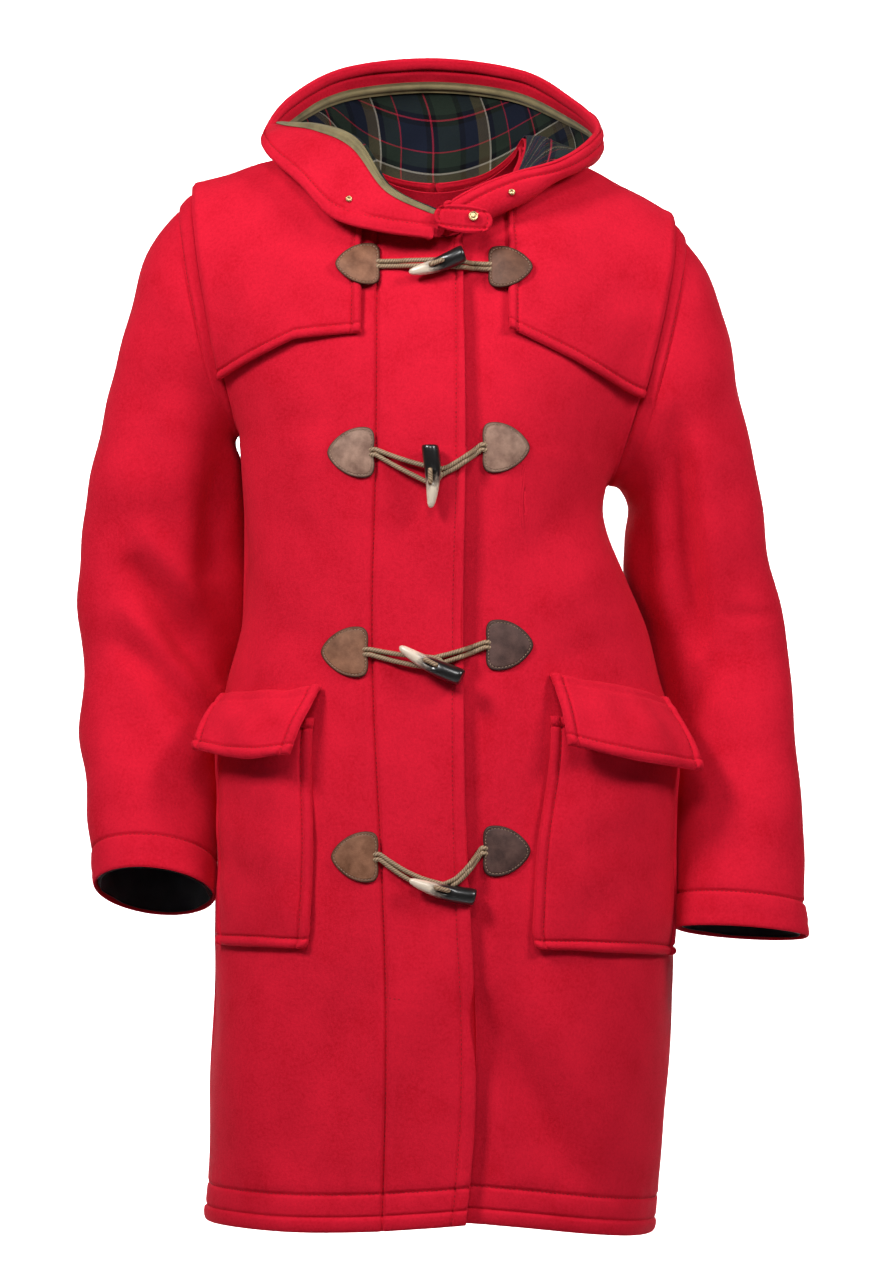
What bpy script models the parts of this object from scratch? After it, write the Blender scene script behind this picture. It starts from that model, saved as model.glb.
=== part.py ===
"""Duffle coat, worn shape with its hood down, built as the sewn pieces of its cut.

Metres, +Z up. The front of the coat faces -Y and the wearer's right is -X. The origin is the point
between the shoulders, at the base of the neck, where the wearer carries the coat.
"""

import math

import bmesh
import bpy
from mathutils import Vector

# Driving dimensions
WALL = 0.0026  # melton wool
LINING = 0.0014  # hood lining and sleeve lining
LEATHER = 0.0022
LAY_GAP = 0.0016  # between a panel and what is sewn on it
CORD_RADIUS = 0.0016
STUD_RADIUS = 0.0042
HOOD_STUD_RADIUS = 0.0029
SHOULDER_START = 0.004  # share down a panel at which it leaves the shoulder seam
SIDE_SEAM = 0.9985  # share across at which front and back meet
SLEEVE_GAP_TOP = 0.0017  # between sleeve and body, at the shoulder tip and under the arm
SLEEVE_GAP_UNDER = 0.0039

NECK_HALF_WIDTH = 0.075
NECK_HEIGHT = 0.020
CHEST_Z = -0.255
CHEST_FRONT = 0.138
CHEST_BACK = 0.118
NECK_DROP_FRONT = 0.52  # how far down the chest arc the front neckline starts
NECK_DROP_BACK = 0.33
SECTION_POWER = 2.4  # squareness of the horizontal sections
SHOULDER_TURN = math.radians(60)
CENTRE_EASE_FRONT = 1.3  # how late the centre line comes forward below the neck
CENTRE_EASE_BACK = 1.0
UNDERLAP_DEPTH = 0.0046  # how far the left front sits behind the right front
HEM_BACK = -0.945

RIGHT = -1
LEFT = 1
FRONT = -1
BACK = 1

# Shoulder tip and underarm point of each armhole, its bow outward and its reach forward and back
ARMHOLES = {
    RIGHT: dict(tip=(0.216, -0.022), under=(0.1735, -0.236), bow=0.0075, front=0.062, back=0.066),
    LEFT: dict(tip=(0.212, -0.048), under=(0.1560, -0.282), bow=0.0120, front=0.062, back=0.066),
}

# Body below the underarm: height, half width on the right and on the left, depth in front and behind
BODY_SECTIONS = (
    dict(z=-0.200, right=0.1760, left=0.1640, front=0.1380, back=0.1180),
    dict(z=-0.255, right=0.1730, left=0.1585, front=0.1385, back=0.1180),
    dict(z=-0.309, right=0.1705, left=0.1490, front=0.1370, back=0.1150),
    dict(z=-0.368, right=0.1640, left=0.1660, front=0.1360, back=0.1130),
    dict(z=-0.413, right=0.1660, left=0.1840, front=0.1370, back=0.1150),
    dict(z=-0.460, right=0.1780, left=0.1950, front=0.1400, back=0.1210),
    dict(z=-0.500, right=0.1880, left=0.2040, front=0.1430, back=0.1280),
    dict(z=-0.612, right=0.1930, left=0.2085, front=0.1480, back=0.1380),
    dict(z=-0.711, right=0.1955, left=0.2110, front=0.1490, back=0.1400),
    dict(z=-0.801, right=0.2000, left=0.2080, front=0.1480, back=0.1380),
    dict(z=-0.873, right=0.2005, left=0.2020, front=0.1470, back=0.1370),
    dict(z=-0.960, right=0.2050, left=0.1935, front=0.1460, back=0.1380),
)

# Overlapping front edge of the right front: height and how far past the centre it reaches
FRONT_EDGE = (
    dict(z=-0.060, x=0.0240),
    dict(z=-0.240, x=0.0265),
    dict(z=-0.400, x=0.0240),
    dict(z=-0.590, x=0.0265),
    dict(z=-0.670, x=0.0310),
    dict(z=-0.760, x=0.0360),
    dict(z=-0.870, x=0.0335),
    dict(z=-0.940, x=0.0260),
)
UNDERLAP_EDGE_X = -0.030
EDGE_SHARE = 0.14  # share of a front over which its columns lean to follow the front edge
LAP_X = 0.062  # where the left front starts to step back under the right front
LAP_EASE = 0.026

# Hem of the two fronts
HEM_RIGHT = (
    dict(x=-0.205, z=-0.9425),
    dict(x=-0.120, z=-0.9440),
    dict(x=0.000, z=-0.9380),
    dict(x=0.030, z=-0.9350),
)
HEM_LEFT = (
    dict(x=-0.030, z=-0.9310),
    dict(x=0.060, z=-0.9370),
    dict(x=0.140, z=-0.9470),
    dict(x=0.195, z=-0.9540),
)

# Sleeve rings below the armhole: outer and inner point, depth of the centre line and half depth
SLEEVES = {
    RIGHT: (
        dict(outer_x=0.2590, outer_z=-0.0800, inner_x=0.1850, inner_z=-0.2440, y=0.002, half=0.070),
        dict(outer_x=0.2890, outer_z=-0.1890, inner_x=0.1815, inner_z=-0.2740, y=0.004, half=0.068),
        dict(outer_x=0.3080, outer_z=-0.2650, inner_x=0.1785, inner_z=-0.3110, y=0.006, half=0.064),
        dict(outer_x=0.3180, outer_z=-0.3350, inner_x=0.1745, inner_z=-0.3600, y=0.008, half=0.059),
        dict(outer_x=0.3180, outer_z=-0.4000, inner_x=0.1735, inner_z=-0.4080, y=0.008, half=0.055),
        dict(outer_x=0.3175, outer_z=-0.4580, inner_x=0.1900, inner_z=-0.4550, y=0.000, half=0.052),
        dict(outer_x=0.3170, outer_z=-0.5180, inner_x=0.2010, inner_z=-0.5100, y=-0.014, half=0.049),
        dict(outer_x=0.3120, outer_z=-0.5750, inner_x=0.2040, inner_z=-0.5670, y=-0.030, half=0.047),
        dict(outer_x=0.3060, outer_z=-0.6150, inner_x=0.2035, inner_z=-0.6200, y=-0.041, half=0.046),
        dict(outer_x=0.3030, outer_z=-0.6480, inner_x=0.2010, inner_z=-0.6550, y=-0.050, half=0.046),
    ),
    LEFT: (
        dict(outer_x=0.2510, outer_z=-0.1080, inner_x=0.1680, inner_z=-0.2870, y=0.002, half=0.070),
        dict(outer_x=0.2760, outer_z=-0.2060, inner_x=0.1760, inner_z=-0.3060, y=0.004, half=0.068),
        dict(outer_x=0.2900, outer_z=-0.2760, inner_x=0.1710, inner_z=-0.3330, y=0.006, half=0.063),
        dict(outer_x=0.3010, outer_z=-0.3470, inner_x=0.1740, inner_z=-0.3700, y=0.008, half=0.058),
        dict(outer_x=0.3120, outer_z=-0.4150, inner_x=0.1920, inner_z=-0.4150, y=0.008, half=0.054),
        dict(outer_x=0.3210, outer_z=-0.4750, inner_x=0.2055, inner_z=-0.4680, y=-0.002, half=0.050),
        dict(outer_x=0.3260, outer_z=-0.5350, inner_x=0.2165, inner_z=-0.5250, y=-0.016, half=0.048),
        dict(outer_x=0.3280, outer_z=-0.6000, inner_x=0.2185, inner_z=-0.5900, y=-0.031, half=0.047),
        dict(outer_x=0.3290, outer_z=-0.6450, inner_x=0.2195, inner_z=-0.6400, y=-0.042, half=0.046),
        dict(outer_x=0.3320, outer_z=-0.6850, inner_x=0.2190, inner_z=-0.6900, y=-0.052, half=0.046),
    ),
}
CUFF_TILT = {RIGHT: 0.48, LEFT: 0.28}  # rise of the cuff's front rim over its depth

# Storm flaps: inner edge, and the lower edge from its inner corner to its point at the armhole
STORM_FLAPS = {
    RIGHT: dict(inner_x=0.0640, corner_z=-0.1540, middle_x=0.1250, middle_z=-0.1590, point_z=-0.1860),
    LEFT: dict(inner_x=0.0640, corner_z=-0.1500, middle_x=0.1250, middle_z=-0.1760, point_z=-0.2010),
}

# Patch pockets: inner and outer edge (share of the quarter section), mouth and bottom heights
POCKETS = {
    RIGHT: dict(inner_top=0.330, inner_bottom=0.330, outer=0.800, mouth_z=-0.492, bottom_z=-0.694, drop=0.0),
    LEFT: dict(inner_top=0.285, inner_bottom=0.245, outer=0.840, mouth_z=-0.490, bottom_z=-0.694, drop=0.010),
}
POCKET_BULGE = 0.010
FLAPS = {
    RIGHT: dict(inner=0.330, outer=0.840, seam_z=-0.4640, seam_drop=0.008),
    LEFT: dict(inner=0.285, outer=0.840, seam_z=-0.4530, seam_drop=0.022),
}
FLAP_LOW_EDGES = {
    RIGHT: ((0.127, -0.162, -0.5230), (0.170, -0.141, -0.5265), (0.2145, -0.0900, -0.5200)),
    LEFT: ((0.116, -0.164, -0.5150), (0.180, -0.143, -0.5290), (0.2360, -0.0900, -0.5390)),
}
FLAP_BULGE = 0.006

# Fastenings from the top: leather patches and toggles, in the plane of the front
PATCH_WIDTH = 0.043
PATCH_HEIGHT = 0.043
FASTENINGS = (
    dict(right=(-0.0675, -0.0910), left=(0.0661, -0.0935),
         tip=(-0.0220, -0.0995), butt=(0.0240, -0.0820), lift=0.0050),
    dict(right=(-0.0730, -0.2583), left=(0.0620, -0.2540),
         tip=(-0.0020, -0.3075), butt=(-0.0033, -0.2520), lift=0.0),
    dict(right=(-0.0786, -0.4335), left=(0.0650, -0.4274),
         tip=(-0.0305, -0.4290), butt=(0.0230, -0.4560), lift=0.0),
    dict(right=(-0.0694, -0.6131), left=(0.0624, -0.6079),
         tip=(-0.0217, -0.6330), butt=(0.0353, -0.6480), lift=0.0),
)
TOGGLE_RADIUS = 0.0083
TOGGLE_PROFILE = (  # share along from the tip, share of the full radius
    (0.00, 0.22),
    (0.08, 0.44),
    (0.30, 0.72),
    (0.55, 0.92),
    (0.80, 1.00),
    (0.96, 0.96),
    (1.00, 0.78),
)
TOGGLE_SIDES = 12
TOGGLE_STAND = 0.0165  # toggle axis off the cloth
LOOP_REACH = 0.42  # share of the toggle, from its tip, at which each cord ends
EYE_REACH = 0.66

# Throat tab and its stud, and the studs of the hood by their shares round the neck and out to the edge
TAB_CENTRE = (0.0250, -0.1215, -0.0520)
TAB_HALF_WIDTH = 0.0260
TAB_HALF_HEIGHT = 0.0125
TAB_STUD = (0.0340, -0.1237, -0.0500)
HOOD_STUDS = {"stud_hood_right": (0.1075, 0.944), "stud_hood_left": (0.8974, 0.713)}

# Hood, laid open: each station round the neck gives its way from the neck seam to the opening edge
HOOD_STATIONS = (
    dict(neck=(-0.006, -0.0990, -0.064), inner=(-0.004, -0.1000, -0.060), bag=(-0.002, -0.1015, -0.053),
         roll=(-0.002, -0.1050, -0.048), facing=(-0.006, -0.1120, -0.050), edge=(-0.012, -0.1160, -0.064)),
    dict(neck=(-0.040, -0.0920, -0.050), inner=(-0.042, -0.0910, -0.043), bag=(-0.041, -0.0900, -0.034),
         roll=(-0.038, -0.0920, -0.027), facing=(-0.043, -0.1030, -0.028), edge=(-0.050, -0.1160, -0.061)),
    dict(neck=(-0.066, -0.0755, -0.020), inner=(-0.069, -0.0725, -0.011), bag=(-0.067, -0.0680, -0.002),
         roll=(-0.062, -0.0680, 0.009), facing=(-0.072, -0.0800, 0.014), edge=(-0.090, -0.1050, -0.048)),
    dict(neck=(-0.080, -0.0390, 0.016), inner=(-0.084, -0.0380, 0.018), bag=(-0.088, -0.0370, 0.021),
         roll=(-0.090, -0.0350, 0.026), facing=(-0.104, -0.0450, 0.030), edge=(-0.119, -0.0800, -0.017)),
    dict(neck=(-0.079, 0.0000, 0.029), inner=(-0.090, 0.0030, 0.0275), bag=(-0.104, 0.0050, 0.0265),
         roll=(-0.120, 0.0040, 0.0270), facing=(-0.135, -0.0050, 0.036), edge=(-0.150, -0.0350, 0.014)),
    dict(neck=(-0.070, 0.0310, 0.017), inner=(-0.088, 0.0450, 0.010), bag=(-0.112, 0.0600, 0.008),
         roll=(-0.133, 0.0620, 0.018), facing=(-0.142, 0.0470, 0.042), edge=(-0.153, 0.0150, 0.037)),
    dict(neck=(-0.050, 0.0520, 0.002), inner=(-0.066, 0.0800, -0.012), bag=(-0.090, 0.1160, -0.020),
         roll=(-0.112, 0.1260, 0.008), facing=(-0.114, 0.1030, 0.052), edge=(-0.131, 0.0740, 0.072)),
    dict(neck=(-0.026, 0.0610, -0.006), inner=(-0.034, 0.0960, -0.028), bag=(-0.052, 0.1460, -0.052),
         roll=(-0.068, 0.1680, -0.006), facing=(-0.070, 0.1490, 0.066), edge=(-0.082, 0.1220, 0.102)),
    dict(neck=(0.000, 0.0630, -0.008), inner=(0.000, 0.1010, -0.034), bag=(0.000, 0.1560, -0.064),
         roll=(0.000, 0.1850, -0.012), facing=(0.000, 0.1660, 0.072), edge=(0.000, 0.1400, 0.112)),
    dict(neck=(0.026, 0.0610, -0.006), inner=(0.034, 0.0960, -0.028), bag=(0.052, 0.1460, -0.052),
         roll=(0.068, 0.1680, -0.006), facing=(0.070, 0.1480, 0.064), edge=(0.080, 0.1200, 0.099)),
    dict(neck=(0.050, 0.0520, 0.002), inner=(0.066, 0.0800, -0.012), bag=(0.092, 0.1160, -0.022),
         roll=(0.119, 0.1200, 0.003), facing=(0.129, 0.0980, 0.040), edge=(0.124, 0.0720, 0.070)),
    dict(neck=(0.070, 0.0310, 0.018), inner=(0.088, 0.0450, 0.010), bag=(0.114, 0.0580, 0.002),
         roll=(0.139, 0.0520, 0.008), facing=(0.149, 0.0350, 0.024), edge=(0.147, 0.0160, 0.043)),
    dict(neck=(0.079, 0.0000, 0.028), inner=(0.097, 0.0010, 0.0260), bag=(0.118, -0.0030, 0.0170),
         roll=(0.138, -0.0120, 0.0090), facing=(0.146, -0.0240, 0.012), edge=(0.141, -0.0330, 0.024)),
    dict(neck=(0.078, -0.0420, 0.010), inner=(0.092, -0.0480, 0.001), bag=(0.108, -0.0560, -0.008),
         roll=(0.118, -0.0660, -0.011), facing=(0.120, -0.0740, -0.006), edge=(0.112, -0.0780, 0.002)),
    dict(neck=(0.066, -0.0750, -0.023), inner=(0.074, -0.0830, -0.030), bag=(0.080, -0.0910, -0.033),
         roll=(0.082, -0.0980, -0.028), facing=(0.077, -0.1010, -0.020), edge=(0.068, -0.0990, -0.012)),
    dict(neck=(0.040, -0.0920, -0.055), inner=(0.044, -0.0990, -0.053), bag=(0.048, -0.1040, -0.047),
         roll=(0.048, -0.1070, -0.040), facing=(0.043, -0.1070, -0.032), edge=(0.036, -0.1040, -0.025)),
    dict(neck=(0.006, -0.0990, -0.068), inner=(0.008, -0.1030, -0.064), bag=(0.009, -0.1060, -0.059),
         roll=(0.009, -0.1080, -0.054), facing=(0.008, -0.1080, -0.048), edge=(0.006, -0.1070, -0.042)),
)
HOOD_POINTS = ("neck", "inner", "bag", "roll", "facing", "edge")
HOOD_LAY = 0.0009  # between the layers of the hood
FACING_SHARE = 0.80  # where the lining ends and the facing begins, from neck seam to edge


def clear_scene():
    """Remove the objects that a new scene starts with."""
    for thing in list(bpy.data.objects):
        bpy.data.objects.remove(thing, do_unlink=True)


def finish(name, colour, roughness, metallic=0.0):
    """A plain material of one colour."""
    material = bpy.data.materials.new(name)
    material.use_nodes = True
    shader = material.node_tree.nodes["Principled BSDF"]
    shader.inputs["Base Color"].default_value = (*colour, 1.0)
    shader.inputs["Roughness"].default_value = roughness
    shader.inputs["Metallic"].default_value = metallic
    return material


def lerp(first, second, share):
    return first + (second - first) * share


def look_up(rows, key, column, value):
    """Read a column of a table at a value of its key column, in a straight line between rows."""
    ordered = sorted(rows, key=lambda row: row[key])
    if value <= ordered[0][key]:
        return ordered[0][column]
    for low, high in zip(ordered, ordered[1:]):
        if value <= high[key]:
            share = (value - low[key]) / (high[key] - low[key])
            return lerp(low[column], high[column], share)
    return ordered[-1][column]


def catmull(points, place):
    """Point on the smooth curve through a list of vectors, place from 0 to 1."""
    last = len(points) - 1
    spot = min(max(place, 0.0), 1.0) * last
    index = min(int(spot), last - 1)
    t = spot - index
    b = points[index]
    c = points[index + 1]
    a = points[index - 1] if index > 0 else b * 2 - c
    d = points[index + 2] if index + 2 <= last else c * 2 - b
    return 0.5 * (2 * b + (c - a) * t + (2 * a - 5 * b + 4 * c - d) * t**2 + (3 * b - a - 3 * c + d) * t**3)


# The body surface. side is RIGHT or LEFT, face is FRONT or BACK, across runs from 0 at the centre
# to 1 at the armhole or side seam, and down from 0 at the shoulder to 1 at the chest and 2 at the hem.


def armhole_point(side, face, turn):
    """Point of the armhole seam, turn from 0 at the shoulder tip to pi under the arm."""
    hole = ARMHOLES[side]
    centre_x = (hole["tip"][0] + hole["under"][0]) / 2
    centre_z = (hole["tip"][1] + hole["under"][1]) / 2
    reach = hole["front"] if face == FRONT else hole["back"]
    x = centre_x + (hole["tip"][0] - centre_x) * math.cos(turn) + hole["bow"] * math.sin(turn)
    z = centre_z + (hole["tip"][1] - centre_z) * math.cos(turn)
    return Vector((side * x, face * reach * math.sin(turn), z))


def shoulder_height(side, x):
    """Height of the shoulder seam at a distance from the centre."""
    tip_x, tip_z = ARMHOLES[side]["tip"]
    share = max(0.0, (abs(x) - NECK_HALF_WIDTH) / (tip_x - NECK_HALF_WIDTH))
    return lerp(NECK_HEIGHT, tip_z, share**1.15)


def hem_height(side, face, x):
    if face == BACK:
        return HEM_BACK
    return look_up(HEM_RIGHT if side == RIGHT else HEM_LEFT, "x", "z", x)


def section(side, face, z, across):
    """Point of the horizontal section below the chest."""
    width = look_up(BODY_SECTIONS, "z", "right" if side == RIGHT else "left", z)
    depth = look_up(BODY_SECTIONS, "z", "front" if face == FRONT else "back", z)
    angle = abs(across) * math.pi / 2
    power = 2 / SECTION_POWER
    x = math.copysign(width * math.sin(angle) ** power, across)
    y = depth * max(math.cos(angle), 0.0) ** power
    return Vector((side * x, face * y, z))


def torso(side, face, across, down):
    """Point of the body surface."""
    if down >= 1:
        start = lerp(CHEST_Z, ARMHOLES[side]["under"][1], min(abs(across), 1.0) ** 3)
        x_hem = section(side, face, HEM_BACK, across).x
        z = lerp(start, hem_height(side, face, x_hem), down - 1)
        return section(side, face, z, across)
    edge = armhole_point(side, face, math.pi * down)
    chest = CHEST_FRONT if face == FRONT else CHEST_BACK
    arc = down * math.pi / 2
    ease = CENTRE_EASE_FRONT if face == FRONT else CENTRE_EASE_BACK
    centre_y = face * chest * math.sin(arc) ** ease
    turn = lerp(SHOULDER_TURN, math.pi / 2, down)
    power = lerp(1.0, 2 / SECTION_POWER, down)
    angle = abs(across) * turn
    rise = (math.sin(angle) / math.sin(turn)) ** power
    fall = (1 - max(math.cos(angle), 0.0) ** power) / (1 - max(math.cos(turn), 0.0) ** power)
    x = math.copysign(abs(edge.x) * rise, across)
    y = lerp(centre_y, edge.y, fall)
    share = abs(across) ** 3
    drop = lerp(1 - math.cos(arc), (1 - math.cos(math.pi * down)) / 2, share)
    low = lerp(CHEST_Z, ARMHOLES[side]["under"][1], share)
    z = lerp(shoulder_height(side, x), low, drop)
    return Vector((side * x, y, z))


def solve(test, low, high):
    """Value between low and high where a rising test crosses nought."""
    for _ in range(40):
        middle = (low + high) / 2
        if test(middle) > 0:
            high = middle
        else:
            low = middle
    return (low + high) / 2


def locate(side, x, z):
    """Across and down of the front point that lies at x and z, seen from the front."""
    across, down = 0.2, 1.0
    for _ in range(12):
        down = solve(lambda value, a=across: z - torso(side, FRONT, a, value).z, 0.02, 2.0)
        across = solve(lambda value, d=down: side * torso(side, FRONT, value, d).x - side * x, -0.35, 0.999)
    return across, down


def normal_of(surface, a, b, inside):
    """Unit normal of a surface of two shares, pointing away from a point inside it."""
    step = 0.004
    a0, a1 = max(a - step, 0.0), min(a + step, 1.0)
    b0, b1 = max(b - step, 0.0), min(b + step, 1.0)
    normal = (surface(a1, b) - surface(a0, b)).cross(surface(a, b1) - surface(a, b0)).normalized()
    if normal.dot(surface(a, b) - inside(a, b)) < 0:
        normal.negate()
    return normal


def torso_core(point):
    """A point inside the body, level with a point of its surface."""
    return Vector((0.0, 0.0, min(point.z - 0.05, -0.10)))


def moved_out(side, x, z, distance):
    """Front point at x and z, moved out along the cloth's normal, and that normal."""
    across, down = locate(side, x, z)
    step = 0.01
    spot = torso(side, FRONT, across, down)
    along = torso(side, FRONT, across + step, down) - torso(side, FRONT, across - step, down)
    fall = torso(side, FRONT, across, down + step) - torso(side, FRONT, across, max(down - step, 0.0))
    normal = along.cross(fall).normalized()
    if normal.y > 0:
        normal.negate()
    return spot + normal * distance, normal


def make_object(name, vertices, faces, material, smooth=True):
    """A named object from vertices and faces, with its faces turned outward."""
    mesh = bpy.data.meshes.new(name)
    mesh.from_pydata([tuple(v) for v in vertices], [], faces)
    shape = bmesh.new()
    shape.from_mesh(mesh)
    bmesh.ops.recalc_face_normals(shape, faces=shape.faces)
    bmesh.ops.triangulate(shape, faces=shape.faces)
    shape.to_mesh(mesh)
    shape.free()
    if smooth:
        mesh.shade_smooth()
        mesh.set_sharp_from_angle(angle=math.radians(50))
    mesh.materials.append(material)
    thing = bpy.data.objects.new(name, mesh)
    bpy.context.scene.collection.objects.link(thing)
    return thing


def sheet_solid(name, surface, inside, across, down, wall, material, offset=0.0, wrap=False):
    """Closed wall on a surface of two shares; across and down list the shares of its grid."""
    outer = []
    inner = []
    for b in down:
        for a in across:
            middle = surface(a, b)
            normal = normal_of(surface, a, b, inside)
            outer.append(middle + normal * (offset + wall / 2))
            inner.append(middle + normal * (offset - wall / 2))
    columns = len(across)
    rows = len(down)
    count = columns * rows
    faces = []
    spans = columns if wrap else columns - 1
    for row in range(rows - 1):
        for column in range(spans):
            first = row * columns + column
            second = row * columns + (column + 1) % columns
            quad = (first, second, second + columns, first + columns)
            faces.append(quad)
            faces.append(tuple(count + index for index in reversed(quad)))
    for column in range(spans):
        following = (column + 1) % columns
        for row, flip in ((0, False), (rows - 1, True)):
            first = row * columns + column
            second = row * columns + following
            rim = (second, first, count + first, count + second)
            faces.append(tuple(reversed(rim)) if flip else rim)
    if not wrap:
        for row in range(rows - 1):
            for column, flip in ((0, False), (columns - 1, True)):
                first = row * columns + column
                second = first + columns
                rim = (first, second, count + second, count + first)
                faces.append(tuple(reversed(rim)) if flip else rim)
    return make_object(name, outer + inner, faces, material)


def even(count, low=0.0, high=1.0):
    """Evenly spaced values from low to high."""
    return [lerp(low, high, index / (count - 1)) for index in range(count)]


# Body panels


def neckline(across, face):
    """Where a column of the panel starts: below the neckline near the centre, else at the shoulder."""
    edge = math.asin(NECK_HALF_WIDTH / ARMHOLES[RIGHT]["tip"][0] * math.sin(SHOULDER_TURN)) / SHOULDER_TURN
    deepest = NECK_DROP_FRONT if face == FRONT else NECK_DROP_BACK
    if abs(across) >= edge:
        return SHOULDER_START
    return max(SHOULDER_START, deepest * math.sqrt(1 - (across / edge) ** 2))


def front_panel(side):
    """Surface of one front, from its front edge to the armhole and side seam."""

    def edge_across(down):
        z = torso(side, FRONT, 0.0, down).z
        x = -look_up(FRONT_EDGE, "z", "x", z) if side == RIGHT else UNDERLAP_EDGE_X
        return solve(lambda value: torso(side, FRONT, value, down).x * side - x, -0.4, 0.4)

    def surface(a, b):
        start = 0.0 if a > EDGE_SHARE else 1.0 - a / EDGE_SHARE
        plain = lerp(-0.10, SIDE_SEAM, a)
        top = neckline(plain, FRONT)
        down = lerp(top, 2.0, b)
        across = lerp(plain, edge_across(down), start)
        point = torso(side, FRONT, across, down)
        if side == LEFT:
            under = min(max((LAP_X - point.x) / LAP_EASE, 0.0), 1.0)
            point.y += UNDERLAP_DEPTH * under * under * (3 - 2 * under)
        return point

    return surface


def back_panel(a, b):
    """Surface of the back, from side seam to side seam."""
    spread = lerp(-SIDE_SEAM, SIDE_SEAM, a)
    side = RIGHT if spread < 0 else LEFT
    down = lerp(neckline(abs(spread), BACK), 2.0, b)
    return torso(side, BACK, abs(spread), down)


def build_body(wool):
    columns = [0.0, 0.07, 0.14, 0.20, 0.27, 0.352, 0.44, 0.54, 0.64, 0.74, 0.84, 0.93, 1.0]
    rows = [*even(12, 0.0, 0.44), 0.48, 0.52, 0.56, 0.60, 0.65, 0.71, 0.77, 0.83, 0.89, 0.95, 1.0]
    for side, name in ((RIGHT, "front_right"), (LEFT, "front_left")):
        surface = front_panel(side)
        inside = lambda a, b, s=surface: torso_core(s(a, b))
        sheet_solid(name, surface, inside, columns, rows, WALL, wool)
    half = [0.0, 0.12, 0.22, 0.32, 0.43, 0.55, 0.66, 0.746, 0.87, 1.0]
    wide = [0.5 - share / 2 for share in reversed(half)] + [0.5 + share / 2 for share in half[1:]]
    sheet_solid("back", back_panel, lambda a, b: torso_core(back_panel(a, b)), wide, rows, WALL, wool)


def storm_flap(side):
    """Surface of a storm flap, from the shoulder seam down to its pointed lower edge."""
    sizes = STORM_FLAPS[side]

    def lowest(x):
        tip = abs(armhole_point(side, FRONT, math.pi * 0.72).x)
        if x < sizes["middle_x"]:
            share = (x - sizes["inner_x"]) / (sizes["middle_x"] - sizes["inner_x"])
            return lerp(sizes["corner_z"], sizes["middle_z"], share)
        share = (x - sizes["middle_x"]) / (tip - sizes["middle_x"])
        return lerp(sizes["middle_z"], sizes["point_z"], share)

    def across_at(down):
        return solve(lambda value: torso(side, FRONT, value, down).x * side - sizes["inner_x"], 0.0, 0.9)

    def surface(a, b):
        across = lerp(across_at(0.4), 0.994, a)
        x = abs(torso(side, FRONT, across, 0.6).x)
        end = solve(lambda value: lowest(x) - torso(side, FRONT, across, value).z, 0.05, 1.0)
        down = lerp(neckline(across, FRONT) + 0.003, end, b)
        across = lerp(across_at(down), 0.994, a)
        return torso(side, FRONT, across, down)

    return surface


def build_storm_flaps(wool):
    for side, name in ((RIGHT, "storm_flap_right"), (LEFT, "storm_flap_left")):
        surface = storm_flap(side)
        inside = lambda a, b, s=surface: torso_core(s(a, b))
        columns = [0.0, 0.03, 0.06, 0.14, 0.28, 0.42, 0.56, 0.70, 0.85, 1.0]
        sheet_solid(name, surface, inside, columns, even(11), WALL, wool, offset=WALL + 2 * LAY_GAP)


# Sleeves


def sleeve_ring(side, row, turn):
    """Point of a sleeve ring, turn 0 at its outer side and growing towards the front."""
    outer = Vector((side * row["outer_x"], row["y"], row["outer_z"]))
    inner = Vector((side * row["inner_x"], row["y"], row["inner_z"]))
    middle = (outer + inner) / 2
    point = middle + (outer - middle) * math.cos(turn)
    point.y -= row["half"] * math.sin(turn)
    return point


def sleeve_surface(side):
    """Surface of a sleeve: share round it, and share down from the armhole to the cuff."""
    rows = SLEEVES[side]
    last = len(rows)

    def start(turn):
        face = FRONT if math.sin(turn) >= 0 else BACK
        point = armhole_point(side, face, turn if face == FRONT else 2 * math.pi - turn)
        under = (1 - math.cos(turn)) / 2
        point.x += side * lerp(SLEEVE_GAP_TOP, SLEEVE_GAP_UNDER, under)
        return point

    def surface(a, b):
        turn = (a % 1.0) * 2 * math.pi
        points = [start(turn)]
        for index, row in enumerate(rows):
            point = sleeve_ring(side, row, turn)
            lean = CUFF_TILT[side] * max(0.0, (index - (last - 4)) / 3)
            point.z += lean * (row["y"] - point.y)
            points.append(point)
        return catmull(points, b)

    return surface


def sleeve_core(side):
    """Centre line of a sleeve at the share down it."""
    surface = sleeve_surface(side)

    def inside(a, b):
        return (surface(0.0, b) + surface(0.5, b)) / 2

    return inside


def build_sleeves(wool, lining):
    around = [index / 22 for index in range(22)]
    rows = [0.0, 0.06, 0.13, 0.21, 0.30, 0.40, 0.50, 0.60, 0.70, 0.80, 0.90, 1.0]
    for side, name in ((RIGHT, "sleeve_right"), (LEFT, "sleeve_left")):
        surface = sleeve_surface(side)
        inside = sleeve_core(side)
        sheet_solid(name, surface, inside, around, rows, WALL, wool, wrap=True)
        depth = -(WALL + LINING) / 2 - LAY_GAP / 2
        sheet_solid(name.replace("sleeve", "cuff_lining"), surface, inside, around, [0.90, 0.95, 0.99],
                    LINING, lining, offset=depth, wrap=True)


# Pockets


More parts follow.
